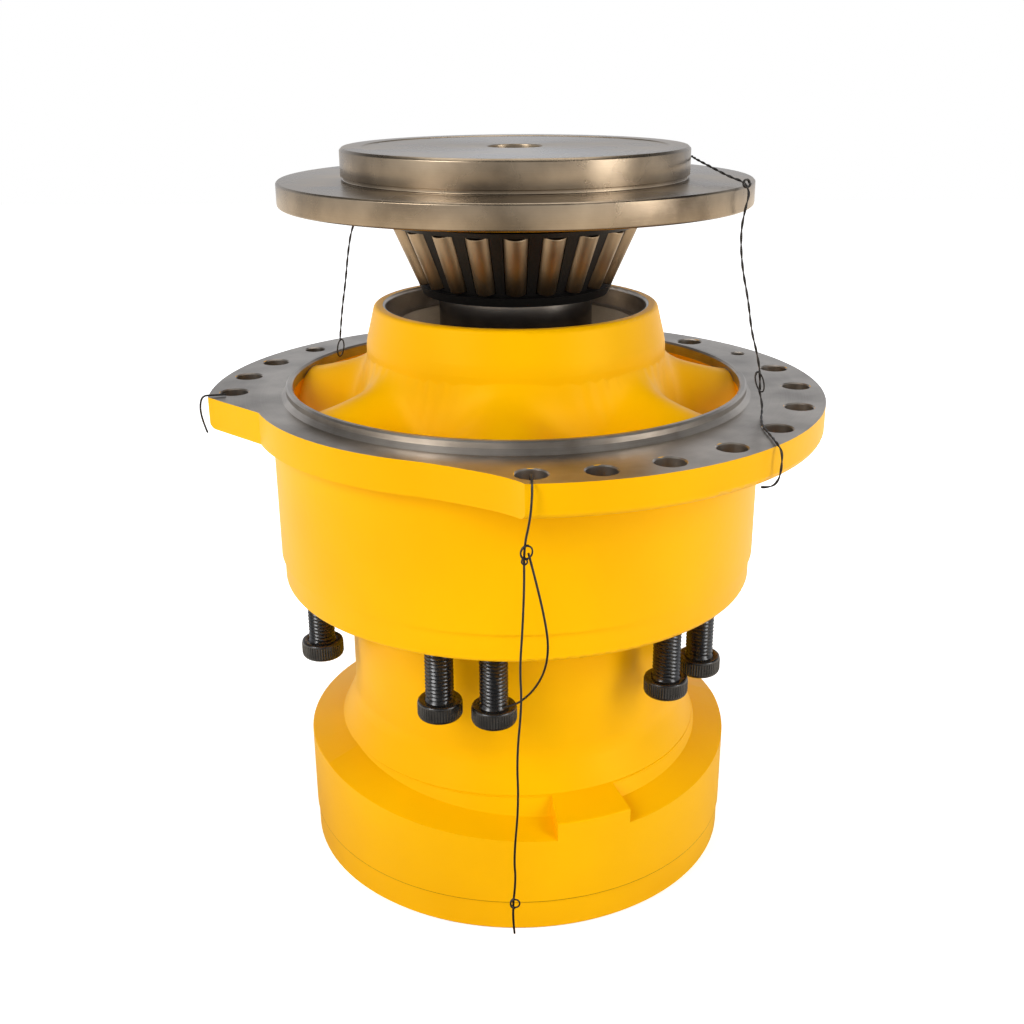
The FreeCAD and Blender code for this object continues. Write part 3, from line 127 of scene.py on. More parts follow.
wire_routes = {
    "tie_wire_front": [
        (6.5, -190.0, 322.0),
        (6.9, -192.0, 328.2),
        (7.2, -198.5, 328.6),
        (7.3, -204.6, 327.8),
        (7.3, -206.6, 320.0),
        (6.2, -206.2, 307.0),
        (3.0, -205.6, 292.0),
        (3.2, -205.2, 270.0),
        (2.2, -205.0, 244.0),
        (0.6, -205.0, 219.0),
        (1.8, -205.0, 199.0),
        (-1.3, -205.0, 164.0),
        (-0.2, -205.0, 134.0),
        (-3.2, -205.0, 96.0),
        (-2.0, -205.0, 82.0),
        (-4.4, -205.0, 58.0),
        (-3.0, -205.0, 43.0),
    ],
    "tie_wire_screw": [
        (5.4, -205.4, 288.5),
        (9.2, -205.2, 273.0),
        (14.2, -204.6, 250.0),
        (16.6, -201.5, 231.0),
        (14.8, -193.0, 212.0),
        (9.5, -180.0, 194.0),
        (2.5, -167.5, 179.5),
        (-3.6, -159.5, 171.5),
        (-9.5, -156.2, 168.5),
    ],
    "tie_wire_plate": [
        (109.1, 22.0, 474.0),
        (111.4, 4.0, 474.4),
        (112.0, -17.0, 473.6),
        (118.2, -40.0, 470.6),
        (126.5, -60.0, 466.6),
        (132.2, -72.0, 465.2),
        (134.8, -78.5, 460.0),
        (132.6, -79.0, 451.0),
        (131.2, -76.0, 437.0),
        (133.5, -74.0, 417.0),
        (138.5, -74.0, 397.0),
        (141.6, -74.0, 378.0),
        (146.0, -74.0, 364.0),
        (148.6, -73.8, 352.0),
        (149.3, -72.7, 341.4),
    ],
    "tie_wire_hub": [
        (-78.3, 34.0, 446.2),
        (-91.0, 42.0, 444.8),
        (-104.0, 51.5, 437.5),
        (-112.5, 58.5, 424.0),
        (-116.4, 60.5, 406.0),
        (-119.0, 60.0, 386.0),
        (-122.8, 60.0, 365.0),
        (-125.4, 62.0, 344.5),
    ],
    "tie_wire_flange": [
        (149.6, -70.0, 340.2),
        (151.6, -69.4, 333.2),
        (151.4, -73.6, 328.6),
        (147.6, -90.0, 327.7),
        (145.6, -108.0, 327.8),
        (147.0, -126.0, 327.6),
        (146.8, -139.4, 328.2),
        (149.2, -144.8, 325.0),
        (149.6, -145.0, 316.0),
        (148.6, -144.4, 307.0),
        (144.0, -145.4, 303.2),
        (138.5, -145.4, 303.6),
    ],
    "tie_wire_corner": [
        (-190.0, -24.0, 327.3),
        (-198.0, -26.5, 327.5),
        (-204.6, -28.0, 327.6),
        (-206.6, -28.6, 320.0),
        (-205.4, -29.2, 311.0),
        (-202.6, -30.0, 303.0),
    ],
}


def wire_line(name, points):
    """Points along the smooth curve that has the route's points as its control points."""
    curve = bpy.data.curves.new(name + "_route", "CURVE")
    curve.dimensions = "3D"
    spline = curve.splines.new("NURBS")
    spline.points.add(len(points) - 1)
    for point, spot in zip(spline.points, points):
        point.co = (spot[0] * mm, spot[1] * mm, spot[2] * mm, 1)
    spline.order_u = 3
    spline.use_endpoint_u = True
    spline.resolution_u = 14
    holder = bpy.data.objects.new(name + "_route", curve)
    scene.collection.objects.link(holder)
    mesh = bpy.data.meshes.new_from_object(holder)
    line = [v.co.copy() for v in mesh.vertices]
    bpy.data.objects.remove(holder)
    return line


def smooth(mesh, sharp=35):
    """Smooth shading with sharp edges where the surface turns by more than this angle."""
    mesh.shade_smooth()
    mesh.set_sharp_from_angle(angle=math.radians(sharp))


def new_piece(name, mesh, material, body):
    """A finished mesh as a piece of the machine that rides on this body."""
    piece = bpy.data.objects.new(name, mesh)
    mesh.materials.clear()
    mesh.materials.append(material)
    scene.collection.objects.link(piece)
    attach(piece, body)
    return piece


def first_side(spots):
    """A direction well away from the one in which these points set out."""
    steep = abs((spots[1] - spots[0]).normalized().z) >= 0.8
    return Vector((1, 0, 0)) if steep else Vector((0, 0, 1))


def square_to(spots, i, side):
    """The direction at point i, and this side turned square to it."""
    ahead = (spots[min(i + 1, len(spots) - 1)] - spots[max(i - 1, 0)]).normalized()
    return ahead, (side - ahead * side.dot(ahead)).normalized()


def add_strand(form, spots, thick, sides=8):
    """A round wire through these points, closed at both ends, added to the mesh being built."""
    side = first_side(spots)
    rings = []
    for i, spot in enumerate(spots):
        ahead, side = square_to(spots, i, side)
        across = ahead.cross(side)
        ring = []
        for k in range(sides):
            angle = 2 * math.pi * k / sides
            way = side * math.cos(angle) + across * math.sin(angle)
            ring.append(form.verts.new(spot + way * thick))
        rings.append(ring)
    for low, high in zip(rings, rings[1:]):
        for k in range(sides):
            form.faces.new((low[k], low[(k + 1) % sides], high[(k + 1) % sides], high[k]))
    form.faces.new(rings[0])
    form.faces.new(rings[-1])


def twisted(spots, start, lay=17 * mm, apart=0.36 * mm):
    """One of two wires twisted round the line through these points."""
    side = first_side(spots)
    strand, travelled = [], 0.0
    for i, spot in enumerate(spots):
        ahead, side = square_to(spots, i, side)
        travelled += (spot - spots[i - 1]).length if i else 0.0
        turn = start + 2 * math.pi * travelled / lay
        strand.append(spot + (side * math.cos(turn) + ahead.cross(side) * math.sin(turn)) * apart)
    return strand


def loop(middle, right, up, wide, high, turns=1.0, start=0.0):
    """Points round an open loop, wide and high in millimetres, in the plane of right and up."""
    right, up, spots = Vector(right).normalized(), Vector(up).normalized(), []
    away = right.cross(up)
    steps, rise = 20, 0.055
    for k in range(int(steps * turns) + 1):
        turn = start + 2 * math.pi * k / steps
        spot = Vector(middle) + right * wide / 2 * math.cos(turn) + up * high / 2 * math.sin(turn)
        spots.append((spot + away * rise * k) * mm)
    return spots


wire_bodies = {"tie_wire_plate": "shaft", "tie_wire_hub": "shaft"}
single_radius, strand_radius, loop_radius = 0.66 * mm, 0.42 * mm, 0.5 * mm
single_wires = ("tie_wire_front", "tie_wire_screw", "tie_wire_corner")
wire_loops = {
    "tie_wire_front": [
        loop((4.4, -206.2, 289.6), (1, 0, 0.2), (0, 0, 1), 6.4, 7.4, 1.6, 1.2),
        loop((3.2, -206.4, 284.4), (1, 0.1, 0), (0, 0, 1), 3.0, 3.4, 1.4, 0.4),
        loop((-2.6, -206.0, 66.0), (1, 0, 0), (0, 0, 1), 5.4, 6.0, 1.5, 1.6),
    ],
    "tie_wire_plate": [
        loop((132.6, -75.6, 464.4), (1, 0.4, 0), (0, 0.2, 1), 4.2, 4.6, 2.0, 0.0),
        loop((148.4, -74.2, 346.8), (1, 0.1, 0.3), (-0.3, 0, 1), 4.6, 13.0, 1.2, 1.0),
    ],
    "tie_wire_hub": [loop((-125.2, 61.6, 338.6), (1, 0.2, 0), (0.15, 0, 1), 4.4, 12.5, 1.1, 1.5)],
}
wire_squashes = {"tie_wire_plate": (0.474, 0.531), "tie_wire_hub": (0.446, 0.387)}
for name, points in wire_routes.items():
    line = wire_line(name, points)
    single = name in single_wires
    if single:
        strands = [(line, single_radius)]
    else:
        strands = [(twisted(line, turn), strand_radius) for turn in (0.0, math.pi)]
    loops = [(spots, loop_radius) for spots in wire_loops.get(name, [])]
    body = wire_bodies.get(name, "housing")
    pieces = []
    for suffix, tubes in (("_strands", strands), ("_loops", loops)):
        if not tubes:
            continue
        form = bmesh.new()
        for spots, thick in tubes:
            add_strand(form, spots, thick)
        bmesh.ops.recalc_face_normals(form, faces=form.faces)
        mesh = bpy.data.meshes.new(name + suffix)
        form.to_mesh(mesh)
        form.free()
        smooth(mesh, 60)
        pieces.append(new_piece(name + suffix, mesh, wire_iron, body))
    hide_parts(name)
    if name in wire_squashes:
        for piece in pieces:
            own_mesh(piece)


# Rear housing and end cover: grey iron castings, sprayed with one thick coat of yellow enamel.
# The coat gives a satin skin with a faint orange peel over the grain of the casting.
def inside(tree, source, low, high):
    """1 where the value lies between two limits, else 0."""
    above = add(tree, "ShaderNodeMath", {1: low}, {0: source}, operation="GREATER_THAN").outputs[0]
    below = add(tree, "ShaderNodeMath", {1: high}, {0: source}, operation="LESS_THAN").outputs[0]
    return add(tree, "ShaderNodeMath", links={0: above, 1: below}, operation="MULTIPLY").outputs[0]


def both(tree, first, second):
    """1 where both masks are 1."""
    return add(tree, "ShaderNodeMath", links={0: first, 1: second}, operation="MULTIPLY").outputs[0]


def either(tree, first, second):
    """1 where one of the masks is 1."""
    return add(tree, "ShaderNodeMath", links={0: first, 1: second}, operation="MAXIMUM").outputs[0]


def enamel_nodes(tree, place):
    """The colour and the heights of the enamel, with a dark line where end cover and housing meet."""
    shade = ramp(tree, noise(tree, place, 9, 2), "F4B000", "FDBC00", 0.3, 0.7)
    level = add(tree, "ShaderNodeSeparateXYZ", links={0: place}).outputs["Z"]
    seam = inside(tree, level, 0.02185, 0.0225)
    seamed = add(
        tree,
        "ShaderNodeMix",
        {7: colour("8A5A00")},
        {0: seam, 6: shade},
        data_type="RGBA",
    )
    cast, peel = noise(tree, place, 160, 2), noise(tree, place, 620, 1)
    heights = add(tree, "ShaderNodeMath", {1: 0.35}, {0: peel, 2: cast}, operation="MULTIPLY_ADD")
    return seamed.outputs[2], heights.outputs[0]


enamel, tree = blank_material("yellow_enamel_on_cast_iron")
place = add(tree, "ShaderNodeTexCoord").outputs["Object"]
shade, heights = enamel_nodes(tree, place)
relief = add(tree, "ShaderNodeBump", {"Strength": 0.25, "Distance": 0.0004}, {"Height": heights})
skin = add(
    tree,
    "ShaderNodeBsdfPrincipled",
    {"Roughness": 0.42, "IOR": 1.5, "Specular IOR Level": 0.3, "Specular Tint": colour("FFD058")},
    {"Base Color": shade, "Normal": relief.outputs[0]},
)
add(tree, "ShaderNodeOutputMaterial", links={"Surface": skin.outputs[0]})


def finish_nodes(material, *names):
    """Gives these CAD nodes a finish."""
    for name in names:
        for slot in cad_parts[name].material_slots:
            slot.material = material


finish_nodes(enamel, "rear_housing", "end_cover")


# Bearing support: the same casting and enamel, masked before the spray on its machined faces.
# The flange face, the spigot, the screw holes and the bearing bore are bare turned iron with oil on.
def polar_nodes(tree, place):
    """Distance from the machine's axis, height, and angle from the front, of the shaded point."""
    parts = add(tree, "ShaderNodeSeparateXYZ", links={0: place}).outputs
    flat = add(tree, "ShaderNodeCombineXYZ", links={"X": parts["X"], "Y": parts["Y"]})
    radius = add(tree, "ShaderNodeVectorMath", links={0: flat.outputs[0]}, operation="LENGTH")
    front = add(tree, "ShaderNodeMath", {1: -1}, {0: parts["Y"]}, operation="MULTIPLY").outputs[0]
    angle = add(tree, "ShaderNodeMath", links={0: parts["X"], 1: front}, operation="ARCTAN2")
    return radius.outputs["Value"], parts["Z"], angle.outputs[0]


def lathe_marks(tree, radius, height, scale=5200):
    """Fine rings from the turning tool, drawn coarser than they are so that they show."""
    across = add(tree, "ShaderNodeCombineXYZ", links={"X": radius, "Y": height})
    return noise(tree, across.outputs[0], scale, 2)


support, tree = blank_material("yellow_enamel_with_machined_faces")
place = add(tree, "ShaderNodeTexCoord").outputs["Object"]
radius, height, angle = polar_nodes(tree, place)
normal = add(tree, "ShaderNodeNewGeometry").outputs["Normal"]
upward = add(tree, "ShaderNodeSeparateXYZ", links={0: normal}).outputs["Z"]
face_heights, face_radii = (0.3258, 0.3268), (0.151, 0.3)
spigot_heights, spigot_radii = (0.3262, 0.34), (0.1477, 0.157)
hole_heights, hole_radii = (0.3062, 0.3268), (0.1775, 0.1964)
bore_radii = (0.0, 0.0868)
cut_angles = (math.radians(-80.5), math.radians(-0.6))
level = inside(tree, upward, 0.95, 1.1)
level_face = both(tree, level, inside(tree, height, *face_heights))
face = both(tree, level_face, inside(tree, radius, *face_radii))
spigot = both(tree, inside(tree, height, *spigot_heights), inside(tree, radius, *spigot_radii))
bore = inside(tree, radius, *bore_radii)
rim = both(tree, inside(tree, radius, *hole_radii), inside(tree, height, *hole_heights))
cut_back = inside(tree, angle, *cut_angles)
uncut = add(tree, "ShaderNodeMath", {0: 1.0}, {1: cut_back}, operation="SUBTRACT").outputs[0]
holes = both(tree, rim, uncut)
bare = either(tree, either(tree, face, spigot), either(tree, bore, holes))
shade, heights = enamel_nodes(tree, place)
marks = lathe_marks(tree, radius, height)
stains = noise(tree, place, 26, 4)
tone = add(tree, "ShaderNodeMath", {1: 0.3}, {0: marks, 2: stains}, operation="MULTIPLY_ADD")
iron = ramp(tree, tone.outputs[0], "736A60", "C2B9AE", 0.35, 0.95)
blend = add(tree, "ShaderNodeMix", links={0: bare, 6: shade, 7: iron}, data_type="RGBA")
glints = {6: colour("FFD058"), 7: (1, 1, 1, 1)}
glint = add(tree, "ShaderNodeMix", glints, {0: bare}, data_type="RGBA").outputs[2]
gloss = add(tree, "ShaderNodeMapRange", {"To Min": 0.42, "To Max": 0.34}, {"Value": bare}).outputs[0]
metal = add(tree, "ShaderNodeMath", {1: 0.95}, {0: bare}, operation="MULTIPLY").outputs[0]
lumps = add(tree, "ShaderNodeMapRange", {"To Min": 1.0, "To Max": 0.0}, {"Value": bare}).outputs[0]
cast = both(tree, heights, lumps)
fine = both(tree, marks, bare)
uneven = add(tree, "ShaderNodeMath", {1: 0.12}, {0: fine, 2: cast}, operation="MULTIPLY_ADD")
coat = {"Strength": 0.25, "Distance": 0.0004}
relief = add(tree, "ShaderNodeBump", coat, {"Height": uneven.outputs[0]})
skin = add(
    tree,
    "ShaderNodeBsdfPrincipled",
    {"IOR": 1.5, "Specular IOR Level": 0.3},
    {
        "Base Color": blend.outputs[2],
        "Metallic": metal,
        "Roughness": gloss,
        "Normal": relief.outputs[0],
        "Specular Tint": glint,
    },
)
add(tree, "ShaderNodeOutputMaterial", links={"Surface": skin.outputs[0]})
finish_nodes(support, "bearing_support")


# Output shaft: one steel forging with the plate, the pilot and the splined journal, turned all over
# and oiled. The tool leaves fine rings on the faces, and every edge is eased.
def eased(corners, steps=4):
    """The profile with each (radius, height, ease) corner rounded by its ease."""
    points = []
    count = len(corners)
    for i, (r, z, ease) in enumerate(corners):
        here = Vector((r, z))
        before = Vector(corners[i - 1][:2]) - here
        after = Vector(corners[(i + 1) % count][:2]) - here
        if ease <= 0 or r <= 0:
            points.append(here)
            continue
        reach = min(ease, 0.45 * before.length, 0.45 * after.length)
        first, last = here + before.normalized() * reach, here + after.normalized() * reach
        for k in range(steps + 1):
            t = k / steps
            points.append(first * (1 - t) ** 2 + here * 2 * t * (1 - t) + last * t * t)
    return points


def turned_mesh(name, points, segments, shape=None):
    """A closed (radius, height) profile in millimetres, turned round the machine's axis."""
    form = bmesh.new()
    rings = []
    for point in points:
        ring = []
        for k in range(segments):
            angle = 2 * math.pi * k / segments
            r = shape(point.x, point.y, angle) if shape else point.x
            spot = (r * mm * math.sin(angle), -r * mm * math.cos(angle), point.y * mm)
            ring.append(form.verts.new(spot))
        rings.append(ring)
    for low, high in zip(rings, rings[1:] + rings[:1]):
        for k in range(segments):
            form.faces.new((low[k], low[(k + 1) % segments], high[(k + 1) % segments], high[k]))
    bmesh.ops.remove_doubles(form, verts=form.verts, dist=1e-7)
    bmesh.ops.dissolve_degenerate(form, edges=form.edges, dist=1e-7)
    bmesh.ops.recalc_face_normals(form, faces=form.faces)
    mesh = bpy.data.meshes.new(name)
    form.to_mesh(mesh)
    form.free()
    smooth(mesh)
    return mesh


def turned_steel_material(name, dark, light, roughness, scale=5200):
    """Steel off the lathe, with tool rings and oil that has dried unevenly."""
    material, tree = blank_material(name)
    place = add(tree, "ShaderNodeTexCoord").outputs["Object"]
    radius, height, _ = polar_nodes(tree, place)
    marks = lathe_marks(tree, radius, height, scale)
    stains = noise(tree, place, 22, 5)
    tone = add(tree, "ShaderNodeMath", {1: 0.35}, {0: marks, 2: stains}, operation="MULTIPLY_ADD")
    shade = ramp(tree, tone.outputs[0], dark, light, 0.4, 0.95)
    limits = {"To Min": roughness - 0.06, "To Max": roughness + 0.08}
    gloss = add(tree, "ShaderNodeMapRange", limits, {"Value": stains})
    relief = add(tree, "ShaderNodeBump", {"Strength": 0.18, "Distance": 0.0001}, {"Height": marks})
    skin = add(
        tree,
        "ShaderNodeBsdfPrincipled",
        {"Metallic": 1.0, "Anisotropic": 0.5},
        {"Base Color": shade, "Roughness": gloss.outputs[0], "Normal": relief.outputs[0]},
    )
    add(tree, "ShaderNodeOutputMaterial", links={"Surface": skin.outputs[0]})
    return material


turned_steel = turned_steel_material("turned_steel_oiled", "5E5142", "AE9C84", 0.27)
shaft_profile = eased(
    [
        (0, 447.6, 0),
        (17.5, 447.6, 0),
        (17.5, 481.0, 0.8),
        (96, 481.0, 0.3),
        (96.6, 481.6, 0.3),
        (108.4, 481.6, 0.3),
        (110, 480.0, 0.4),
        (110, 464.7, 0.3),
        (108.4, 464.7, 0.3),
        (108.4, 462.3, 0.6),
        (149, 462.3, 0.3),
        (150, 461.3, 0.4),
        (150, 448.3, 0.4),
        (149, 447.3, 0.3),
        (68, 447.3, 0.4),
        (68, 443.5, 0.3),
        (45, 443.5, 0.3),
        (45, 363, 0.3),
        (39.97, 363, 0.3),
        (39.97, 336, 0.3),
        (36, 336, 0.5),
        (36, 326, 0.5),
        (32.6, 326, 0.3),
        (32.6, 250.5, 0.5),
        (31.5, 250, 0.3),
        (18.2, 250, 0.3),
        (18.2, 330, 0),
        (0, 330, 0),
    ]
)


spline_teeth, spline_radius, spline_top = 18, 32.6, 325.9


def splined(r, z, angle):
    """The tail's teeth, 3 mm deep, with slightly rounded flanks."""
    if z < spline_top and 31 < r < 33:
        return 31.5 + 1.5 * math.tanh(4 * math.cos(spline_teeth * angle)) - (spline_radius - r)
    return r


shaft_mesh = turned_mesh("output_shaft", shaft_profile, 288, splined)
shaft = new_piece("output_shaft_turned", shaft_mesh, turned_steel, "shaft")
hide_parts("output_shaft")

# Outboard bearing: taper rollers of through-hardened steel, ground and honed, in a pressed cage
# that was phosphated black. The inner ring hides behind them, with the polished spacer below.
bearing_steel = turned_steel_material("ground_bearing_steel", "776550", "AE9A80", 0.38, 9000)
cage_values = {"Metallic": 0.75, "Roughness": 0.4}
cage_steel = mottled_material(
    "phosphated_cage_steel", 900, 2, "1B1A1A", "35322F", cage_values, (0.2, 0.0001)
)


def ring_of(name, unit, turns, material):
    """Copies of a mesh, turned round the machine's axis by these degrees, as one mesh."""
    unit_holder = bpy.data.objects.new(name + "_unit", unit)
    seeds = bpy.data.meshes.new(name)
    seeds.from_pydata([(0, 0, 0)] * len(turns), [], [])
    turn = seeds.attributes.new("turn", "FLOAT_VECTOR", "POINT")
    turn.data.foreach_set("vector", [c for t in turns for c in (0.0, 0.0, math.radians(t))])
    holder = bpy.data.objects.new(name + "_seeds", seeds)
    scene.collection.objects.link(unit_holder)
    scene.collection.objects.link(holder)
    tree = bpy.data.node_groups.new(name, "GeometryNodeTree")
    new_socket = tree.interface.new_socket
    new_socket("Seeds", in_out="INPUT", socket_type="NodeSocketGeometry")
    unit_socket = new_socket("Unit", in_out="INPUT", socket_type="NodeSocketObject")
    finish_socket = new_socket("Finish", in_out="INPUT", socket_type="NodeSocketMaterial")
    new_socket("Ring", in_out="OUTPUT", socket_type="NodeSocketGeometry")
    given = add(tree, "NodeGroupInput").outputs
    copy = add(tree, "GeometryNodeObjectInfo", links={"Object": given["Unit"]}).outputs["Geometry"]
    named = "GeometryNodeInputNamedAttribute"
    angle = add(tree, named, {"Name": "turn"}, data_type="FLOAT_VECTOR").outputs[0]
    spread = add(
        tree,
        "GeometryNodeInstanceOnPoints",
        links={"Points": given["Seeds"], "Instance": copy, "Rotation": angle},
    )
    solid = add(tree, "GeometryNodeRealizeInstances", links={"Geometry": spread.outputs[0]})
    coat = {"Geometry": solid.outputs[0], "Material": given["Finish"]}
    coated = add(tree, "GeometryNodeSetMaterial", links=coat)
    add(tree, "NodeGroupOutput", links={"Ring": coated.outputs[0]})
    modifier = holder.modifiers.new("ring", "NODES")
    modifier.node_group = tree
    modifier[unit_socket.identifier] = unit_holder
    modifier[finish_socket.identifier] = material
    graph = bpy.context.evaluated_depsgraph_get()
    mesh = bpy.data.meshes.new_from_object(holder.evaluated_get(graph))
    mesh.name = name
    bpy.data.objects.remove(holder)
    bpy.data.objects.remove(unit_holder)
    return mesh


def taper_roller(big_end, small_end, envelope, lean_degrees, big_radius, play=0.05):
    """The front roller of a row, with eased ends and a small dimple in the big one."""
    way = 1 if big_end > small_end else -1
    cup = math.radians(lean_degrees)
    apex = big_end - way * envelope / math.tan(cup)
    reach = envelope / math.sin(cup)
    half = math.asin(big_radius / reach)
    start = abs(small_end - apex) / math.cos(cup) * math.cos(half)
    end = reach * math.cos(half)
    small, big = start * math.tan(half) - play, end * math.tan(half) - play
    dimple_bottom = end - 0.6
    profile = eased(
        [
            (0, start, 0),
            (small, start, 0.7),
            (big, end, 0.8),
            (big * 0.5, end, 0.3),
            (big * 0.42, dimple_bottom, 0.3),
            (0, dimple_bottom, 0),
        ]
    )
    mesh = turned_mesh("roller", profile, 28)
    lean = cup - half
    mesh.transform(Matrix.Rotation(lean if way > 0 else math.pi - lean, 4, "X"))
    mesh.transform(Matrix.Translation((0, 0, apex * mm)))
    return mesh


outboard_unit = taper_roller(433, 397, 80, 24, 8)
outboard_turns = [18 * i for i in range(20)]
outboard_mesh = ring_of("outboard_rollers", outboard_unit, outboard_turns, bearing_steel)
outboard = new_piece(
    "outboard_rollers_ground", outboard_mesh, bearing_steel, "outboard_roller_set"
)
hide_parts("outboard_rollers")
inboard_unit = taper_roller(279.5, 297.5, 66.5, 20, 6)
inboard_turns = [15 * i for i in range(24)]
inboard_mesh = ring_of("inboard_rollers", inboard_unit, inboard_turns, bearing_steel)
inboard = new_piece(
    "inboard_rollers_ground", inboard_mesh, bearing_steel, "inboard_roller_set"
)
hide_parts("inboard_rollers")
finish_nodes(cage_steel, "outboard_cage", "inboard_cage", "outboard_cone", "lock_nut")
finish_nodes(bearing_steel, "outboard_cup", "inboard_cup", "inboard_cone")

sleeve_steel = turned_steel_material("polished_spacer_steel", "6A645E", "A39A90", 0.22, 7000)
sleeve_mesh = turned_mesh(
    "bearing_spacer",
    eased([(45, 363.4, 0.4), (50, 363, 6), (50, 390.5, 0.6), (45, 390.5, 0.4)], 8),
    160,
)
sleeve = new_piece("bearing_spacer_polished", sleeve_mesh, sleeve_steel, "shaft")
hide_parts("bearing_spacer")


# Case screws: M18 socket head screws of black oxide steel, with rolled threads and knurled heads.
# All twelve are backed out by the same length and hang in the case ring by their threads.
black_oxide, tree = blank_material("black_oxide_steel")
place = add(tree, "ShaderNodeTexCoord").outputs["Object"]
oil = noise(tree, place, 180, 4)
gloss = add(tree, "ShaderNodeMapRange", {"To Min": 0.18, "To Max": 0.34}, {"Value": oil})
skin = add(
    tree,
    "ShaderNodeBsdfPrincipled",
    {"Metallic": 0.15, "IOR": 1.7},
    {"Base Color": ramp(tree, oil, "0C0B0B", "242220"), "Roughness": gloss.outputs[0]},
)
add(tree, "ShaderNodeOutputMaterial", links={"Surface": skin.outputs[0]})


def socket_screw_mesh(
    name, spot, under_head, head, shank, pitch, across_flats, socket_depth, knurls=52
):
    """A socket screw that points up. head and shank are (radius, height) in millimetres."""
    head_radius, head_height = head
    shank_radius, shank_length = shank
    bottom = under_head - head_height
    socket_floor, tip = bottom + socket_depth, under_head + shank_length
    corner = across_flats / math.sqrt(3)
    rows = 4
    threads = [
        (shank_radius, under_head + 0.8 + k * pitch / rows)
        for k in range(int((shank_length - 2.4) / pitch * rows) + 1)
    ]
    socket = [(0, socket_floor), (corner, socket_floor), (corner, bottom + 0.5)]
    profile = (
        [Vector(c) for c in socket]
        + eased(
            [
                (corner + 0.6, bottom, 0.2),
                (head_radius - 1.4, bottom, 0.8),
                (head_radius, bottom + 1.4, 0.6),
                (head_radius, under_head - 0.8, 0.3),
                (head_radius - 0.9, under_head, 0.3),
                (shank_radius + 0.5, under_head, 0.4),
            ],
            2,
        )
        + [Vector(t) for t in threads]
        + [Vector((shank_radius - 1.4, tip)), Vector((0, tip))]
    )
    depth = 0.55 * pitch

    def shape(r, z, angle):
        if z > under_head + 0.7 and r > shank_radius - 0.1:
            turn = (z / pitch + angle / (2 * math.pi)) % 1.0
            return r - depth * (1 - abs(2 * turn - 1)) * 0.9
        if abs(r - corner) < 0.01:
            side = (angle + math.pi / 6) % (math.pi / 3) - math.pi / 6
            return across_flats / 2 / math.cos(side)
        return r

    mesh = turned_mesh(name, profile, 36, shape)
    form = bmesh.new()
    form.from_mesh(mesh)
    low, high, slope = (bottom + 2.2) * mm, (under_head - 1.6) * mm, 0.4 * mm
    half = math.pi * head_radius / knurls * 0.85 * mm
    inner, outer = (head_radius - 0.2) * mm, (head_radius + 0.28) * mm
    for k in range(knurls):
        angle = 2 * math.pi * k / knurls
        middle = Vector((math.sin(angle), -math.cos(angle), 0))
        across = Vector((math.cos(angle), math.sin(angle), 0))
        foot = [
            form.verts.new(middle * inner + across * s * half + Vector((0, 0, z)))
            for z in (low, high)
            for s in (-1, 1)
        ]
        crest = [
            form.verts.new(middle * outer + Vector((0, 0, z))) for z in (low + slope, high - slope)
        ]
        form.faces.new((foot[0], crest[0], crest[1], foot[2]))
        form.faces.new((crest[0], foot[1], foot[3], crest[1]))
        form.faces.new((foot[0], foot[1], crest[0]))
        form.faces.new((foot[2], crest[1], foot[3]))
        form.faces.new((foot[0], foot[2], foot[3], foot[1]))
    bmesh.ops.recalc_face_normals(form, faces=form.faces)
    form.to_mesh(mesh)
    form.free()
    smooth(mesh)
    mesh.transform(Matrix.Translation((spot[0] * mm, spot[1] * mm, 0)))
    return mesh


case_screw = socket_screw_mesh("case_screw", (0, -141.5), 162.2, (13.8, 12), (9, 68), 2.5, 14, 7)
case_screw_turns = [-100, -70, -20, -6, 42, 58, 100, 116, 148, 212, 228, 244]
case_screw_mesh = ring_of("case_screws", case_screw, case_screw_turns, black_oxide)
case_screws = new_piece(
    "case_screws_threaded", case_screw_mesh, black_oxide, "case_screw_set"
)
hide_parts("case_screws")

# End cover's screws, M10, and the release plug in its middle, of the same black oxide steel.
# They sit sunk in the underside and are seen only from below.
cover_screw = socket_screw_mesh("cover_screw", (0, -139), 11, (8, 10), (4.95, 30), 1.5, 8, 5, 36)
cover_screw_turns = [18 + 36 * i for i in range(10)]
cover_screw_mesh = ring_of("cover_screws", cover_screw, cover_screw_turns, black_oxide)
cover_screws = new_piece(
    "cover_screws_threaded", cover_screw_mesh, black_oxide, "housing"
)
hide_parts("cover_screws")
finish_nodes(black_oxide, "release_plug")

# Seals: nitrile rubber, moulded, matt black with a dusting of talc.
# The shaft seal is pressed on the hub under the plate, the others lie in their grooves.
rubber_values = {"Roughness": 0.62, "IOR": 1.52}
nitrile = mottled_material(
    "moulded_nitrile_rubber", 70, 5, "141414", "2C2B2A", rubber_values, (0.1, 0.0002)
)
finish_nodes(nitrile, "shaft_seal", "case_oring", "cover_oring")
finish_nodes(nitrile, "distributor_seals", "brake_piston_seals")

# Works inside the castings: phosphated iron for the blocks and the piston, ground steel for what
# rolls or slides, and sintered linings on the brake's friction discs.
iron_values = {"Metallic": 0.7, "Roughness": 0.5}
phosphated_iron = mottled_material(
    "phosphated_cast_iron", 420, 4, "3E3D3B", "63615D", iron_values, (0.2, 0.0002)
)
finish_nodes(phosphated_iron, "distributor", "cylinder_block", "brake_piston")
finish_nodes(turned_steel, "cam_ring", "pistons", "brake_shaft", "brake_hub", "brake_steel_plates")
finish_nodes(bearing_steel, "cam_rollers", "cam_ring_pins", "case_dowels", "brake_torque_pins")
finish_nodes(cage_steel, "distributor_spring")

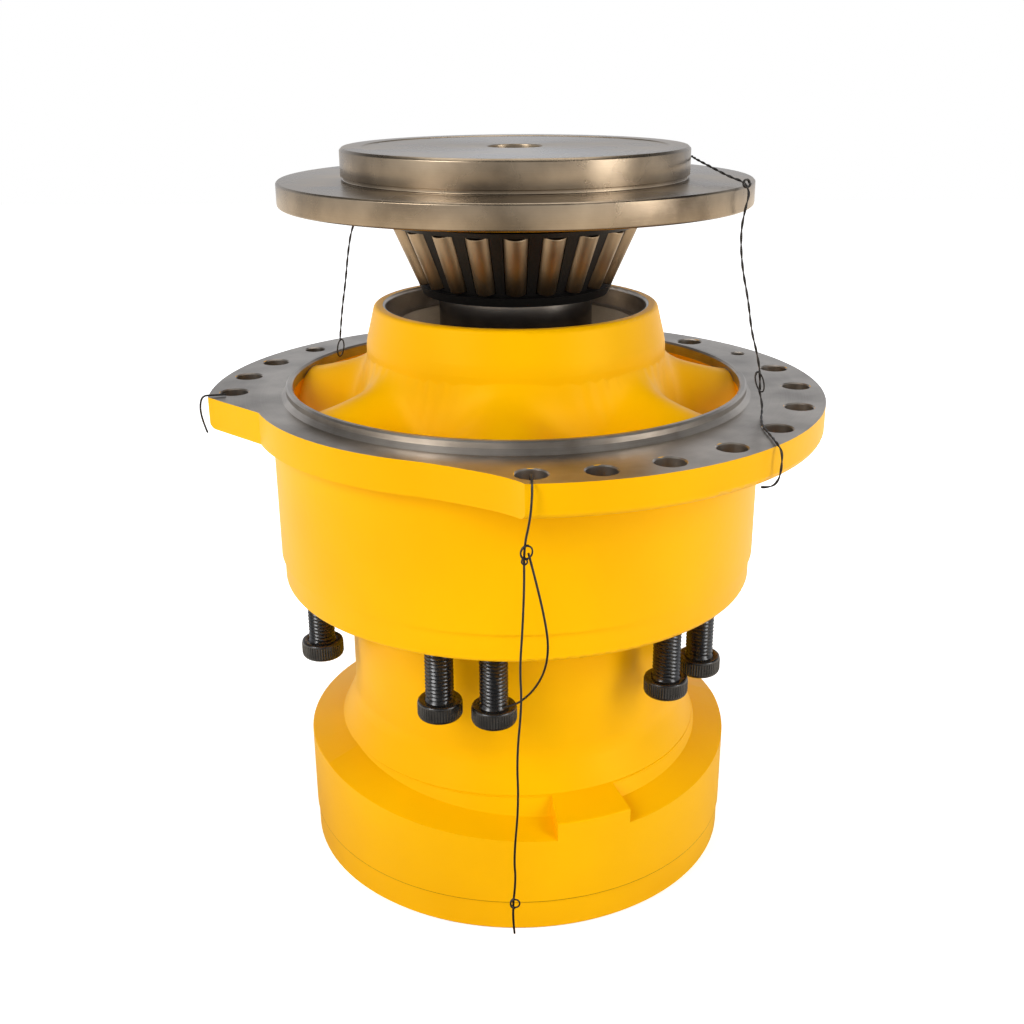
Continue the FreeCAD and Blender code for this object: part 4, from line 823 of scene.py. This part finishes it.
# Brake's two disc springs: dished rings of spring steel, face to face, with eased edges. They
# flatten by 2 mm when the brake piston comes down on them.
spring_rim, spring_bore = 96, 52
for name, ends in (("lower", (22.5, 26.5, 30.1, 26.1)), ("upper", (33.7, 37.7, 34.1, 30.1))):
    radii = (spring_rim, spring_rim, spring_bore, spring_bore)
    corners = [(r, z, 0.4) for r, z in zip(radii, ends)]
    spring_mesh = turned_mesh("brake_disc_spring_" + name, eased(corners), 128)
    spring = new_piece("brake_disc_spring_" + name, spring_mesh, cage_steel, "housing")
    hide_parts("brake_disc_springs")
    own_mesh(spring)

lining_values = {"Roughness": 0.8}
lining = mottled_material("sintered_friction_lining", 1400, 2, "3A2F27", "6E5C4A", lining_values)
finish_nodes(lining, "brake_friction_discs")

# Studio: a plain white floor that runs into a white background, and soft box lamps overhead, at
# the left and at the right. In reflections the floor shows a painted reflection: it glows, dim in
# the middle and bright towards the sides, which gives the turned steel its dark band.
paper, tree = blank_material("white_paper_floor")
ray = add(tree, "ShaderNodeLightPath").outputs
seen = either(tree, ray["Is Camera Ray"], ray["Is Transmission Ray"])
place = add(tree, "ShaderNodeTexCoord").outputs["Object"]
reach = add(tree, "ShaderNodeVectorMath", links={0: place}, operation="LENGTH").outputs["Value"]
fade = {"From Min": 0.2, "From Max": 0.7, "To Min": 0.62}
far = add(tree, "ShaderNodeMapRange", fade, {"Value": reach})
sheet = add(tree, "ShaderNodeBsdfDiffuse", {"Color": colour("F2F2F2")})
glow = add(tree, "ShaderNodeEmission", {"Color": (1, 1, 1, 1)}, {"Strength": far.outputs[0]})
lit = add(tree, "ShaderNodeAddShader", links={0: sheet.outputs[0], 1: glow.outputs[0]})
white = add(tree, "ShaderNodeMixShader", links={0: seen, 1: sheet.outputs[0], 2: lit.outputs[0]})
# Painted reflection: for glossy rays only, the floor glows warm white, faintly in the middle and
# brighter towards the sides.
across = add(tree, "ShaderNodeSeparateXYZ", links={0: place}).outputs["X"]
aside = add(tree, "ShaderNodeMath", links={0: across}, operation="ABSOLUTE").outputs[0]
painted_reflection_band = {"From Min": 0.08, "From Max": 0.5, "To Min": 0.1, "To Max": 1.5}
painted_reflection_strength = add(tree, "ShaderNodeMapRange", painted_reflection_band, {"Value": aside})
painted_reflection_glow = add(tree, "ShaderNodeEmission", {"Color": colour("FFF4E4")}, {"Strength": painted_reflection_strength.outputs[0]})
links = {0: ray["Is Glossy Ray"], 1: white.outputs[0], 2: painted_reflection_glow.outputs[0]}
mixed = add(tree, "ShaderNodeMixShader", links=links)
add(tree, "ShaderNodeOutputMaterial", links={"Surface": mixed.outputs[0]})
floor_mesh = bpy.data.meshes.new("floor")
half_width, low = 4, -0.0004
floor_mesh.from_pydata(
    [(x * half_width, y * half_width, low) for x, y in ((-1, -1), (1, -1), (1, 1), (-1, 1))],
    [],
    [(0, 1, 2, 3)],
)
floor_mesh.materials.append(paper)
floor = bpy.data.objects.new("floor", floor_mesh)
scene.collection.objects.link(floor)

world = bpy.data.worlds.new("studio")
world.use_nodes = True
world.node_tree.nodes.clear()
scene.world = world
tree = world.node_tree
direction = add(tree, "ShaderNodeTexCoord").outputs["Generated"]
rise = add(tree, "ShaderNodeSeparateXYZ", links={0: direction}).outputs["Z"]
sky = ramp(tree, rise, "F4F8FF", "5E6064", 0.3, 0.55)
around = add(tree, "ShaderNodeBackground", {"Strength": 0.9}, {"Color": sky})
white = add(tree, "ShaderNodeBackground", {"Color": (1, 1, 1, 1), "Strength": 1.0})
ray = add(tree, "ShaderNodeLightPath").outputs
choice = add(
    tree,
    "ShaderNodeMixShader",
    links={0: ray["Is Camera Ray"], 1: around.outputs[0], 2: white.outputs[0]},
)
add(tree, "ShaderNodeOutputWorld", links={"Surface": choice.outputs[0]})


def soft_box(name, spot, aim, size, power):
    """A rectangular area lamp at a point, aimed at another."""
    lamp = bpy.data.lights.new(name, "AREA")
    lamp.shape = "RECTANGLE"
    lamp.size, lamp.size_y = size
    lamp.energy = power
    holder = bpy.data.objects.new(name, lamp)
    scene.collection.objects.link(holder)
    way = Vector(aim) - Vector(spot)
    holder.matrix_world = Matrix.Translation(spot) @ way.to_track_quat("-Z", "Y").to_matrix().to_4x4()


soft_box("key_left", (-1.3, -1.2, 1.3), (0, 0, 0.25), (0.7, 1.2), 23)
soft_box("fill_right", (1.5, -0.9, 0.9), (0, 0, 0.25), (0.6, 1.4), 16)
soft_box("top", (0.0, 0.3, 1.9), (0, 0, 0.3), (1.6, 1.0), 14)
